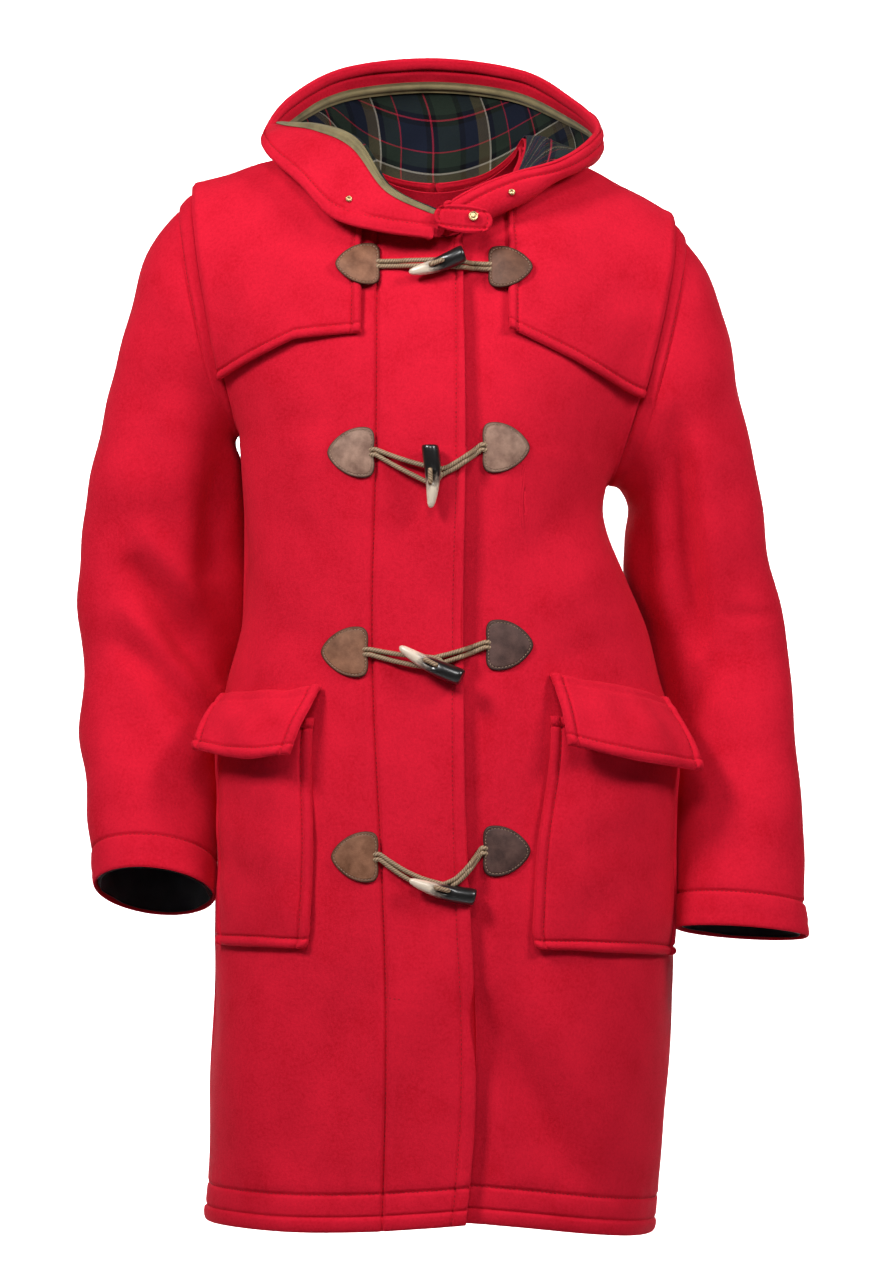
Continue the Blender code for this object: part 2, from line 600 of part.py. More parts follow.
def pocket_surface(side):
    """Surface of a patch pocket, sewn down at its sides and bottom and open at its mouth."""
    sizes = POCKETS[side]

    def surface(a, b):
        inner = lerp(sizes["inner_top"], sizes["inner_bottom"], b)
        across = lerp(inner, sizes["outer"], a)
        z = lerp(sizes["mouth_z"], sizes["bottom_z"], b) - sizes["drop"] * a
        point = section(side, FRONT, z, across)
        step = 0.004
        along = section(side, FRONT, z, across + step) - section(side, FRONT, z, across - step)
        normal = along.cross(Vector((0.0, 0.0, 1.0))).normalized()
        if normal.dot(point - torso_core(point)) < 0:
            normal.negate()
        swell = min(1.0, 6.0 * a * (1 - a)) * (1 - b**4)
        return point + normal * (WALL + LAY_GAP + POCKET_BULGE * swell)

    return surface


def flap_surface(side):
    """Surface of a pocket flap, from its seam on the body to its free lower edge."""
    sizes = FLAPS[side]
    low = [Vector((side * x, y, z)) for x, y, z in FLAP_LOW_EDGES[side]]

    def surface(a, b):
        across = lerp(sizes["inner"], sizes["outer"], a)
        z = sizes["seam_z"] - sizes["seam_drop"] * a
        point = section(side, FRONT, z, across)
        out = Vector((point.x * 0.6, point.y, 0.0)).normalized()
        seam = point + out * (WALL + LAY_GAP)
        free = catmull(low, a)
        bulge = out * FLAP_BULGE * math.sin(math.pi * b)
        return seam.lerp(free, b) + bulge

    return surface


def build_pockets(wool):
    for side, hand in ((RIGHT, "right"), (LEFT, "left")):
        bag = pocket_surface(side)
        inside = lambda a, b, s=bag: torso_core(s(a, b))
        sheet_solid("pocket_" + hand, bag, inside, [0.0, 0.06, 0.18, 0.34, 0.50, 0.66, 0.82, 0.94, 1.0],
                    [0.0, 0.2, 0.4, 0.6, 0.8, 0.93, 1.0], WALL, wool)
        flap = flap_surface(side)
        inside = lambda a, b, s=flap: torso_core(s(a, b))
        sheet_solid("pocket_flap_" + hand, flap, inside, even(9), even(5), WALL, wool)


# Hood


def hood_surface(a, b):
    """Surface of the hood: share round the neck, from the right front to the left front, and share
    from the neck seam to the edge of its opening."""
    lines = [catmull([Vector(station[key]) for station in HOOD_STATIONS], a) for key in HOOD_POINTS]
    return catmull(lines, b)


def hood_inside(a, b):
    """A point on the outer side of the hood cloth, so that its normal points to the neck."""
    step = 0.004
    a0, a1 = max(a - step, 0.0), min(a + step, 1.0)
    b0, b1 = max(b - step, 0.0), min(b + step, 1.0)
    round_neck = hood_surface(a1, b) - hood_surface(a0, b)
    outward = hood_surface(a, b1) - hood_surface(a, b0)
    return hood_surface(a, b) - round_neck.cross(outward).normalized() * 0.01


def build_hood(wool, lining, binding, facing):
    right = even(13, 0.0, 0.4985)
    left = even(13, 0.5015, 1.0)
    rows = [0.0, 0.12, 0.24, 0.36, 0.48, 0.60, 0.70, 0.80, 0.90, 1.0]
    sheet_solid("hood_right", hood_surface, hood_inside, right, rows, WALL, wool)
    sheet_solid("hood_left", hood_surface, hood_inside, left, rows, WALL, wool)
    around = [0.006, *right[1:], *left[:-1], 0.994]
    lift = (WALL + LINING) / 2 + HOOD_LAY
    sheet_solid("hood_lining", hood_surface, hood_inside, around,
                [0.02, *rows[1:7], FACING_SHARE - 0.01], LINING, lining, offset=lift)
    sheet_solid("hood_facing", hood_surface, hood_inside, around,
                [FACING_SHARE, 0.90, 0.995], LINING, facing, offset=lift)
    bind = lift + LINING + HOOD_LAY
    sheet_solid("hood_binding", hood_surface, hood_inside, around,
                [FACING_SHARE - 0.022, FACING_SHARE + 0.012], LINING, binding, offset=bind)


def build_throat_tab(wool):
    """Small rounded tab under the hood's left front, standing just off it."""
    centre = Vector(TAB_CENTRE)
    outline = []
    for index in range(20):
        turn = 2 * math.pi * index / 20
        x = TAB_HALF_WIDTH * math.copysign(abs(math.cos(turn)) ** 0.7, math.cos(turn))
        z = TAB_HALF_HEIGHT * math.copysign(abs(math.sin(turn)) ** 0.7, math.sin(turn))
        outline.append(Vector((x, 0.10 * x, z - 0.088 * x)))
    depth = Vector((0.0, WALL / 2, 0.0))
    vertices = [centre + point - depth for point in outline] + [centre + point + depth for point in outline]
    count = len(outline)
    faces = [tuple(range(count)), tuple(reversed(range(count, 2 * count)))]
    for index in range(count):
        following = (index + 1) % count
        faces.append((following, index, count + index, count + following))
    return make_object("throat_tab", vertices, faces, wool)


def build_stud(name, centre, normal, radius, brass):
    """Brass press stud cap: a flat disc with a domed rim."""
    turn = normal.to_track_quat("Z", "Y")
    profile = ((0.0, 1.0), (0.0009, 1.0), (0.0016, 0.72), (0.0019, 0.40))
    sides = 12
    vertices = []
    for height, share in profile:
        for index in range(sides):
            angle = 2 * math.pi * index / sides
            spot = Vector((radius * share * math.cos(angle), radius * share * math.sin(angle), height))
            vertices.append(centre + turn @ spot)
    rings = len(profile)
    faces = [tuple(reversed(range(sides))), tuple(range((rings - 1) * sides, rings * sides))]
    for ring in range(rings - 1):
        for index in range(sides):
            following = (index + 1) % sides
            first = ring * sides + index
            second = ring * sides + following
            faces.append((first, second, second + sides, first + sides))
    return make_object(name, vertices, faces, brass)


def build_studs(brass):
    build_stud("stud_tab", Vector(TAB_STUD), Vector((0.0, -1.0, 0.0)), STUD_RADIUS, brass)
    for name, (share, along) in HOOD_STUDS.items():
        spot = hood_surface(share, along)
        lined_side = (spot - hood_inside(share, along)).normalized()
        if name == "stud_hood_right":
            normal = lined_side
            stand = WALL / 2 + LAY_GAP + LINING
        else:
            normal = -lined_side
            stand = WALL / 2 + LAY_GAP
        build_stud(name, spot + normal * stand, normal, HOOD_STUD_RADIUS, brass)


# Fastenings


def patch_outline(tip_side):
    """Rounded triangle outline with its tip pointing away from the coat's centre."""
    corners = (
        (tip_side * 0.52, -0.02, 0.16),
        (tip_side * -0.43, 0.47, 0.15),
        (tip_side * -0.43, -0.47, 0.15),
    )
    points = []
    for index, (x, z, radius) in enumerate(corners):
        here = Vector((x, z))
        before = Vector(corners[index - 1][:2])
        after = Vector(corners[(index + 1) % 3][:2])
        start = here + (before - here).normalized() * radius
        end = here + (after - here).normalized() * radius
        for step in range(5):
            t = step / 4
            points.append(start * (1 - t) ** 2 + here * 2 * t * (1 - t) + end * t**2)
    return points


def build_patch(name, side, centre, lift, leather):
    """Leather patch that follows the front, a wall between two moved-out copies of its outline."""
    outline = patch_outline(side)
    base = WALL / 2 + LAY_GAP + lift
    vertices = []
    for height in (base, base + LEATHER):
        for point in outline:
            x = centre[0] + point.x * PATCH_WIDTH
            z = centre[1] + point.y * PATCH_HEIGHT
            vertices.append(moved_out(side, x, z, height)[0])
        vertices.append(moved_out(side, centre[0], centre[1], height)[0])
    count = len(outline)
    middle_low = count
    middle_high = 2 * count + 1
    faces = []
    for index in range(count):
        following = (index + 1) % count
        low, low_next = index, following
        high, high_next = count + 1 + index, count + 1 + following
        faces.append((low_next, low, middle_low))
        faces.append((high, high_next, middle_high))
        faces.append((low, low_next, high_next, high))
    return make_object(name, vertices, faces, leather)


def toggle_axis(row):
    """Tip and butt of a toggle, standing off the right front."""
    ends = []
    for key in ("tip", "butt"):
        x, z = row[key]
        spot, _ = moved_out(RIGHT, x, z, TOGGLE_STAND + row["lift"])
        ends.append(spot)
    return ends


def build_toggle(name, row, horn):
    """Horn toggle: a turned body from its pointed tip to its blunt end."""
    tip, butt = toggle_axis(row)
    turn = (butt - tip).to_track_quat("Z", "Y")
    length = (butt - tip).length
    vertices = []
    for along, share in TOGGLE_PROFILE:
        for index in range(TOGGLE_SIDES):
            angle = 2 * math.pi * index / TOGGLE_SIDES
            spot = Vector((math.cos(angle), math.sin(angle), 0.0)) * TOGGLE_RADIUS * share
            vertices.append(tip + turn @ (spot + Vector((0.0, 0.0, along * length))))
    rings = len(TOGGLE_PROFILE)
    last = (rings - 1) * TOGGLE_SIDES
    faces = [tuple(reversed(range(TOGGLE_SIDES))), tuple(range(last, last + TOGGLE_SIDES))]
    for ring in range(rings - 1):
        for index in range(TOGGLE_SIDES):
            following = (index + 1) % TOGGLE_SIDES
            first = ring * TOGGLE_SIDES + index
            second = ring * TOGGLE_SIDES + following
            faces.append((first, second, second + TOGGLE_SIDES, first + TOGGLE_SIDES))
    return make_object(name, vertices, faces, horn)


def build_cord(name, row, side, centre, cord):
    """Cord doubled back on itself, from a patch to just under the toggle and back."""
    tip, butt = row["tip"], row["butt"]
    share = LOOP_REACH if side == RIGHT else EYE_REACH
    goal_x = lerp(tip[0], butt[0], share) + side * 0.0045
    goal_z = lerp(tip[1], butt[1], share)
    start_x = centre[0] - side * (0.43 * PATCH_WIDTH + 0.0022)
    start_z = centre[1]
    stand = WALL / 2 + LAY_GAP + CORD_RADIUS + row["lift"] + 0.0004
    route = []
    for along, spread in ((0.0, 0.0042), (0.35, 0.0038), (0.75, 0.0030), (1.0, 0.0020)):
        route.append((lerp(start_x, goal_x, along), lerp(start_z, goal_z, along) + spread))
    beyond = side * 0.0025
    route.append((goal_x - beyond, goal_z))
    for along, spread in ((1.0, -0.0020), (0.75, -0.0030), (0.35, -0.0038), (0.0, -0.0042)):
        route.append((lerp(start_x, goal_x, along), lerp(start_z, goal_z, along) + spread))
    points = [moved_out(RIGHT if x < 0.020 else LEFT, x, z, stand)[0] for x, z in route]
    count = 22
    curve = bpy.data.curves.new(name, "CURVE")
    curve.dimensions = "3D"
    curve.bevel_depth = CORD_RADIUS
    curve.bevel_resolution = 2
    curve.use_fill_caps = True
    spline = curve.splines.new("POLY")
    spline.points.add(count - 1)
    for index in range(count):
        spline.points[index].co = (*catmull(points, index / (count - 1)), 1.0)
    curve.materials.append(cord)
    thing = bpy.data.objects.new(name, curve)
    bpy.context.scene.collection.objects.link(thing)
    return thing


def build_fastenings(leather, horn, cord):
    for number, row in enumerate(FASTENINGS, start=1):
        build_patch(f"patch_right_{number}", RIGHT, row["right"], row["lift"], leather)
        build_patch(f"patch_left_{number}", LEFT, row["left"], row["lift"], leather)
        build_toggle(f"toggle_{number}", row, horn)
        build_cord(f"loop_cord_{number}", row, RIGHT, row["right"], cord)
        build_cord(f"toggle_cord_{number}", row, LEFT, row["left"], cord)


def main():
    clear_scene()
    wool = finish("red_wool", (0.60, 0.012, 0.030), 0.90)
    facing = finish("red_facing", (0.56, 0.012, 0.030), 0.90)
    tartan = finish("check_lining", (0.020, 0.025, 0.040), 0.85)
    dark = finish("sleeve_lining", (0.020, 0.018, 0.022), 0.60)
    olive = finish("olive_binding", (0.180, 0.140, 0.060), 0.80)
    leather = finish("brown_leather", (0.110, 0.045, 0.020), 0.45)
    horn = finish("horn", (0.350, 0.270, 0.200), 0.30)
    cord = finish("waxed_cord", (0.220, 0.140, 0.070), 0.60)
    brass = finish("brass", (0.600, 0.430, 0.200), 0.35, 1.0)
    build_body(wool)
    build_storm_flaps(wool)
    build_sleeves(wool, dark)
    build_pockets(wool)
    build_hood(wool, tartan, olive, facing)
    build_throat_tab(wool)
    build_studs(brass)
    build_fastenings(leather, horn, cord)


main()
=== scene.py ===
"""Looks of a worn duffle coat: melton wool, check-lined hood, leather patches and horn toggles.

The front faces -Y, +Z is up, and the wearer's right is -X. All sizes are metres.
"""

import logging
import math
from collections.abc import Callable
from dataclasses import dataclass, field
from enum import Enum

import bpy
import numpy as np
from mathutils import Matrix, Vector
from mathutils.bvhtree import BVHTree


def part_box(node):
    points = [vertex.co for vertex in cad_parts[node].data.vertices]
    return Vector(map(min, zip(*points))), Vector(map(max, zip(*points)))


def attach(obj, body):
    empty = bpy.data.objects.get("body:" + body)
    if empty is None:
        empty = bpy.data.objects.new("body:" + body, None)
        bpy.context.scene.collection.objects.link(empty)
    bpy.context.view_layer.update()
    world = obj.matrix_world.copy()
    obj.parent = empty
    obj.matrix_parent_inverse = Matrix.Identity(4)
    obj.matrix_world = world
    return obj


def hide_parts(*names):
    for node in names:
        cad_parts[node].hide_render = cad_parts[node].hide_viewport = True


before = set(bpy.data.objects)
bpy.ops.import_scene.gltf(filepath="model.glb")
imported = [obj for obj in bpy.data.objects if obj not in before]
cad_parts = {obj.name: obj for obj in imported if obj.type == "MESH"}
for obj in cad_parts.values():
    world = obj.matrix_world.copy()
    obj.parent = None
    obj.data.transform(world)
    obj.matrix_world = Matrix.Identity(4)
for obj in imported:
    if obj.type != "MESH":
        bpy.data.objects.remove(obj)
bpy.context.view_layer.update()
LOG = logging.getLogger("duffle_coat")
ROOT = "root"

Grid = np.ndarray
Colour = tuple[float, float, float]
Lines = tuple[Grid, Grid]
Socket = bpy.types.NodeSocket
Material = bpy.types.Material
Piece = bpy.types.Object

# How columns crowd beside a stitched line: their distances from it, and the least room they take

CROWD = np.array([0.0, 0.0004, 0.0009, 0.0016, 0.0025, 0.0037])
CROWD_ROOM = 2.6


def table(columns: str, *rows: tuple) -> tuple[dict, ...]:
    """Give the rows of a table as dicts.

    Args:
        columns: the columns' names, with spaces between them.
        rows: a tuple of values for each row.

    Returns:
        A dict for each row.
    """
    names = columns.split()
    return tuple(dict(zip(names, row)) for row in rows)


class Side(Enum):
    """A side of the wearer, with its sign along X."""

    RIGHT = -1
    LEFT = 1

    @property
    def word(self) -> str:
        """The side's word in the names of pieces."""
        return self.name.lower()


class Face(Enum):
    """The front or the back of the body, with its sign along Y."""

    FRONT = -1
    BACK = 1


class Edge(Enum):
    """How a border of a cloth piece is finished."""

    SEAM = "seam"
    TURNED = "turned"
    HIDDEN = "hidden"

    def all_round(self) -> dict[str, "Edge"]:
        """The same finish for all four borders."""
        return dict(left=self, right=self, top=self, bottom=self)


# Shared sizes of the cut, the same as the frame's

WALL = 0.0026
LINING_WALL = 0.0014
NECK_HALF_WIDTH = 0.075
NECK_HEIGHT = 0.020
CHEST_Z = -0.255
CHEST = {Face.FRONT: 0.138, Face.BACK: 0.118}
NECK_DROP = {Face.FRONT: 0.52, Face.BACK: 0.33}
CHEST_ROUND = {Face.FRONT: 1.3, Face.BACK: 1.0}
SECTION_POWER = 2.4
SHOULDER_TURN = math.radians(60)
UNDERLAP_DEPTH = 0.0046
UNDERLAP_EDGE_X = -0.030
HEM_BACK = -0.945

ARMHOLES = {
    Side.RIGHT: dict(tip=(0.216, -0.022), under=(0.1735, -0.236), bow=0.0075, front=0.062, back=0.066),
    Side.LEFT: dict(tip=(0.212, -0.048), under=(0.1560, -0.282), bow=0.0120, front=0.062, back=0.066),
}
BODY_SECTIONS = table(
    "z right left front back",
    (-0.960, 0.2050, 0.1935, 0.1460, 0.1380),
    (-0.873, 0.2005, 0.2020, 0.1470, 0.1370),
    (-0.801, 0.2000, 0.2080, 0.1480, 0.1380),
    (-0.711, 0.1960, 0.2130, 0.1490, 0.1400),
    (-0.612, 0.1950, 0.2125, 0.1480, 0.1380),
    (-0.500, 0.1925, 0.2115, 0.1430, 0.1280),
    (-0.460, 0.1845, 0.2005, 0.1400, 0.1210),
    (-0.413, 0.1720, 0.1885, 0.1370, 0.1150),
    (-0.368, 0.1690, 0.1700, 0.1360, 0.1130),
    (-0.309, 0.1705, 0.1490, 0.1370, 0.1150),
    (-0.255, 0.1730, 0.1585, 0.1385, 0.1180),
    (-0.200, 0.1760, 0.1640, 0.1380, 0.1180),
)
FRONT_EDGE = table(
    "z x",
    (-0.940, 0.0260),
    (-0.870, 0.0335),
    (-0.760, 0.0360),
    (-0.670, 0.0310),
    (-0.590, 0.0265),
    (-0.400, 0.0240),
    (-0.240, 0.0265),
    (-0.060, 0.0240),
)
HEMS = {
    Side.RIGHT: table(
        "x z",
        (-0.205, -0.9425),
        (-0.120, -0.9440),
        (0.000, -0.9380),
        (0.030, -0.9350),
    ),
    Side.LEFT: table(
        "x z",
        (-0.030, -0.9310),
        (0.060, -0.9370),
        (0.140, -0.9470),
        (0.195, -0.9540),
    ),
}
SLEEVE_RINGS = {
    Side.RIGHT: table(
        "outer_x outer_z inner_x inner_z y half",
        (0.259, -0.080, 0.179, -0.244, 0.002, 0.070),
        (0.289, -0.189, 0.1725, -0.274, 0.004, 0.068),
        (0.308, -0.265, 0.1695, -0.311, 0.006, 0.064),
        (0.318, -0.335, 0.165, -0.360, 0.008, 0.059),
        (0.318, -0.400, 0.166, -0.408, 0.008, 0.055),
        (0.3175, -0.458, 0.180, -0.455, 0.000, 0.052),
        (0.317, -0.518, 0.190, -0.510, -0.014, 0.049),
        (0.312, -0.575, 0.194, -0.567, -0.030, 0.047),
        (0.306, -0.615, 0.196, -0.620, -0.041, 0.046),
        (0.303, -0.642, 0.197, -0.652, -0.050, 0.046),
    ),
    Side.LEFT: table(
        "outer_x outer_z inner_x inner_z y half",
        (0.251, -0.108, 0.168, -0.287, 0.002, 0.070),
        (0.276, -0.206, 0.176, -0.306, 0.004, 0.068),
        (0.290, -0.276, 0.171, -0.333, 0.006, 0.063),
        (0.301, -0.347, 0.171, -0.370, 0.008, 0.058),
        (0.312, -0.415, 0.187, -0.415, 0.008, 0.054),
        (0.321, -0.475, 0.201, -0.468, -0.002, 0.050),
        (0.326, -0.535, 0.211, -0.525, -0.016, 0.048),
        (0.328, -0.600, 0.213, -0.590, -0.031, 0.047),
        (0.329, -0.645, 0.2145, -0.640, -0.042, 0.046),
        (0.332, -0.688, 0.2155, -0.680, -0.052, 0.046),
    ),
}
CUFF_TILT = {Side.RIGHT: 0.50, Side.LEFT: 0.17}
INNER_DEPTHS = (0.014, 0.030, 0.036, 0.042, 0.042, 0.034, 0.022, 0.010, 0.0, 0.0)
HOOD_STATIONS = table(
    "neck inner bag roll facing edge",
    ((-0.002, -0.099, -0.064), (0.000, -0.100, -0.060), (0.004, -0.1015, -0.053),
     (0.006, -0.105, -0.048), (0.005, -0.112, -0.052), (0.002, -0.116, -0.068)),
    ((-0.040, -0.092, -0.050), (-0.042, -0.091, -0.043), (-0.041, -0.090, -0.034),
     (-0.038, -0.092, -0.027), (-0.043, -0.103, -0.028), (-0.050, -0.116, -0.061)),
    ((-0.066, -0.0755, -0.020), (-0.069, -0.0725, -0.011), (-0.067, -0.068, -0.002),
     (-0.062, -0.068, 0.009), (-0.072, -0.080, 0.014), (-0.090, -0.105, -0.048)),
    ((-0.080, -0.039, 0.016), (-0.084, -0.038, 0.018), (-0.088, -0.037, 0.021),
     (-0.090, -0.035, 0.026), (-0.104, -0.045, 0.030), (-0.119, -0.080, -0.017)),
    ((-0.079, 0.000, 0.029), (-0.090, 0.003, 0.0275), (-0.104, 0.005, 0.0265),
     (-0.120, 0.004, 0.027), (-0.135, -0.005, 0.036), (-0.150, -0.035, 0.014)),
    ((-0.070, 0.031, 0.017), (-0.088, 0.045, 0.010), (-0.112, 0.060, 0.008),
     (-0.133, 0.062, 0.018), (-0.142, 0.047, 0.042), (-0.153, 0.015, 0.037)),
    ((-0.050, 0.052, 0.002), (-0.066, 0.080, -0.012), (-0.090, 0.116, -0.020),
     (-0.112, 0.126, 0.008), (-0.114, 0.103, 0.052), (-0.131, 0.074, 0.072)),
    ((-0.026, 0.061, -0.006), (-0.034, 0.096, -0.028), (-0.052, 0.146, -0.052),
     (-0.068, 0.168, -0.006), (-0.070, 0.149, 0.066), (-0.082, 0.122, 0.102)),
    ((0.000, 0.063, -0.008), (0.000, 0.101, -0.034), (0.000, 0.156, -0.064),
     (0.000, 0.185, -0.012), (0.000, 0.166, 0.072), (0.000, 0.140, 0.112)),
    ((0.026, 0.061, -0.006), (0.034, 0.096, -0.028), (0.052, 0.146, -0.052),
     (0.068, 0.168, -0.006), (0.070, 0.148, 0.064), (0.080, 0.120, 0.099)),
    ((0.050, 0.052, 0.002), (0.066, 0.080, -0.012), (0.092, 0.116, -0.022),
     (0.119, 0.120, 0.003), (0.129, 0.098, 0.040), (0.124, 0.072, 0.070)),
    ((0.070, 0.031, 0.018), (0.088, 0.045, 0.010), (0.114, 0.058, 0.002),
     (0.139, 0.052, 0.008), (0.149, 0.035, 0.024), (0.147, 0.016, 0.043)),
    ((0.079, 0.000, 0.028), (0.097, 0.001, 0.026), (0.118, -0.003, 0.017),
     (0.138, -0.012, 0.009), (0.146, -0.024, 0.012), (0.141, -0.033, 0.024)),
    ((0.078, -0.042, 0.010), (0.092, -0.048, 0.001), (0.108, -0.056, -0.008),
     (0.118, -0.066, -0.011), (0.120, -0.074, -0.006), (0.112, -0.078, 0.002)),
    ((0.066, -0.075, -0.023), (0.074, -0.083, -0.030), (0.080, -0.091, -0.033),
     (0.082, -0.098, -0.028), (0.077, -0.101, -0.020), (0.068, -0.099, -0.012)),
    ((0.040, -0.092, -0.055), (0.044, -0.099, -0.053), (0.048, -0.104, -0.047),
     (0.048, -0.107, -0.040), (0.043, -0.107, -0.032), (0.036, -0.104, -0.025)),
    ((0.006, -0.099, -0.068), (0.008, -0.103, -0.064), (0.009, -0.106, -0.059),
     (0.009, -0.108, -0.054), (0.008, -0.108, -0.048), (0.006, -0.107, -0.042)),
)


# Curves and surfaces


def bell(gap: Grid, width: float) -> Grid:
    """Bell curve of a distance: 1 at nought, fading over a width."""
    return np.exp(-((gap / width) ** 2))


def arch(share: Grid, power: float) -> Grid:
    """Half wave of a share clipped to 0..1, fuller where its power is below 1."""
    return np.sin(math.pi * np.clip(share, 0.0, 1.0)) ** power


def unit(vectors: Grid) -> Grid:
    """Vectors brought to a length of 1."""
    return vectors / np.maximum(np.linalg.norm(vectors, axis=-1, keepdims=True), 1e-12)


def share_grid(across: int, down: int) -> Lines:
    """Shares across and down a grid, both from 0 to 1."""
    return np.meshgrid(np.linspace(0.0, 1.0, across), np.linspace(0.0, 1.0, down))


def reach_along(points: Grid, axis: int = 0) -> Grid:
    """Distance travelled along an axis of a grid of points, from nought at its start."""
    steps = np.linalg.norm(np.diff(points, axis=axis), axis=-1)
    return np.concatenate([np.zeros_like(steps.take([0], axis=axis)), np.cumsum(steps, axis=axis)], axis=axis)


def sample(points: Grid, reach: Grid, goal: Grid) -> Grid:
    """Places on a line of points at some distances along it, where reach is each point's own."""
    return np.stack([np.interp(goal, reach, column) for column in points.T], axis=-1)


def ease(value: Grid) -> Grid:
    """Smooth step of a value clipped to 0..1."""
    clipped = np.clip(value, 0.0, 1.0)
    return clipped * clipped * (3 - 2 * clipped)


def smooth_table(rows: tuple, key: str, column: str, value: Grid) -> Grid:
    """Read a table's column on a smooth curve through its rows.

    Args:
        rows: the table, a dict for each row, in rising order of key.
        key: name of the key column.
        column: name of the column read.
        value: where to read it.

    Returns:
        The column's values, held level beyond the table's ends.
    """
    xs = np.array([row[key] for row in rows])
    ys = np.array([row[column] for row in rows])
    slopes = np.gradient(ys, xs)
    spot = np.clip(value, xs[0], xs[-1])
    index = np.clip(np.searchsorted(xs, spot, side="right") - 1, 0, len(xs) - 2)
    span = xs[index + 1] - xs[index]
    t = (spot - xs[index]) / span
    first = (1 + 2 * t) * (1 - t) ** 2 * ys[index] + t * (1 - t) ** 2 * span * slopes[index]
    return first + t * t * (3 - 2 * t) * ys[index + 1] + t * t * (t - 1) * span * slopes[index + 1]


def through(points: Grid, place: Grid) -> Grid:
    """Catmull-Rom curve through points.

    Args:
        points: (N, ..., 3) array, one entry for each station.
        place: shares from 0 to 1 along the stations, of shape (K,) or broadcast to the points.

    Returns:
        The curve's points, with the place's shape ahead of the last axis.
    """
    last = len(points) - 1
    spot = np.clip(place, 0.0, 1.0) * last
    index = np.minimum(spot.astype(int), last - 1)
    t = (spot - index)[..., None]
    padded = np.concatenate([2 * points[:1] - points[1:2], points, 2 * points[-1:] - points[-2:-1]])
    if points.ndim == 2:
        a, b, c, d = (padded[index + offset] for offset in range(4))
    else:
        lanes = np.arange(points.shape[1])[None, :]
        a, b, c, d = (padded[index + offset, lanes] for offset in range(4))
    return 0.5 * (2 * b + (c - a) * t + (2 * a - 5 * b + 4 * c - d) * t**2 + (3 * b - a - 3 * c + d) * t**3)


def armhole(side: Side, face: Face, turn: Grid) -> tuple[Grid, Grid, Grid]:
    """Places on the armhole seam.

    Args:
        side: side of the wearer.
        face: front or back.
        turn: angle, from 0 at the shoulder tip to pi under the arm.

    Returns:
        Distance from the centre, depth and height.
    """
    hole = ARMHOLES[side]
    centre_x = (hole["tip"][0] + hole["under"][0]) / 2
    centre_z = (hole["tip"][1] + hole["under"][1]) / 2
    reach = hole["front"] if face is Face.FRONT else hole["back"]
    x = centre_x + (hole["tip"][0] - centre_x) * np.cos(turn) + hole["bow"] * np.sin(turn)
    z = centre_z + (hole["tip"][1] - centre_z) * np.cos(turn)
    return x, face.value * reach * np.sin(turn), z


def section(side: Side, face: Face, z: Grid, across: Grid) -> Grid:
    """Points of the horizontal sections below the chest.

    Args:
        side: side of the wearer.
        face: front or back.
        z: height.
        across: 0 at the centre to 1 at the side seam.

    Returns:
        Points of the surface.
    """
    width = smooth_table(BODY_SECTIONS, "z", "right" if side is Side.RIGHT else "left", z)
    depth = smooth_table(BODY_SECTIONS, "z", "front" if face is Face.FRONT else "back", z)
    angle = np.abs(across) * math.pi / 2
    power = 2 / SECTION_POWER
    x = np.sign(across) * width * np.sin(angle) ** power
    y = depth * np.maximum(np.cos(angle), 0.0) ** power
    return np.stack([side.value * x, face.value * y, z + 0 * x], axis=-1)


def hem_height(side: Side, face: Face, x: Grid) -> Grid:
    """Height of the hem.

    Args:
        side: side of the wearer.
        face: front or back.
        x: place across the body.

    Returns:
        A height for each place.
    """
    if face is Face.BACK:
        return np.full_like(x, HEM_BACK)
    return smooth_table(HEMS[side], "x", "z", x)


def torso(side: Side, face: Face, across: Grid, down: Grid) -> Grid:
    """The body surface.

    Args:
        side: side of the wearer.
        face: front or back.
        across: 0 at the centre to 1 at the armhole or side seam.
        down: 0 at the shoulder, 1 at the chest and 2 at the hem.

    Returns:
        Points of the surface.
    """
    across, down = np.broadcast_arrays(across, down)
    low_x = section(side, face, np.full(across.shape, HEM_BACK), across)[..., 0]
    under = ARMHOLES[side]["under"][1]
    share = np.minimum(np.abs(across), 1.0) ** 3
    chest_z = CHEST_Z + (under - CHEST_Z) * share
    skirt_z = chest_z + (hem_height(side, face, low_x) - chest_z) * np.maximum(down - 1, 0.0)
    lower = section(side, face, skirt_z, across)

    d = np.clip(down, 0.0, 1.0)
    edge_x, edge_y, _ = armhole(side, face, math.pi * d)
    arc = d * math.pi / 2
    centre_y = face.value * CHEST[face] * np.sin(arc) ** CHEST_ROUND[face]
    turn = SHOULDER_TURN + (math.pi / 2 - SHOULDER_TURN) * d
    power = 1.0 + (2 / SECTION_POWER - 1.0) * d
    angle = np.abs(across) * turn
    rise = (np.sin(angle) / np.sin(turn)) ** power
    fall = (1 - np.maximum(np.cos(angle), 0.0) ** power) / (1 - np.maximum(np.cos(turn), 0.0) ** power)
    x = np.sign(across) * edge_x * rise
    y = centre_y + (edge_y - centre_y) * fall
    drop = (1 - np.cos(arc)) * (1 - share) + (1 - np.cos(math.pi * d)) / 2 * share
    tip_x, tip_z = ARMHOLES[side]["tip"]
    slope = (np.maximum(0.0, np.abs(x) - NECK_HALF_WIDTH) / (tip_x - NECK_HALF_WIDTH)) ** 1.15
    top = NECK_HEIGHT + (tip_z - NECK_HEIGHT) * slope
    upper = np.stack([side.value * x, y, top + (chest_z - top) * drop], axis=-1)
    return np.where((down >= 1)[..., None], lower, upper)


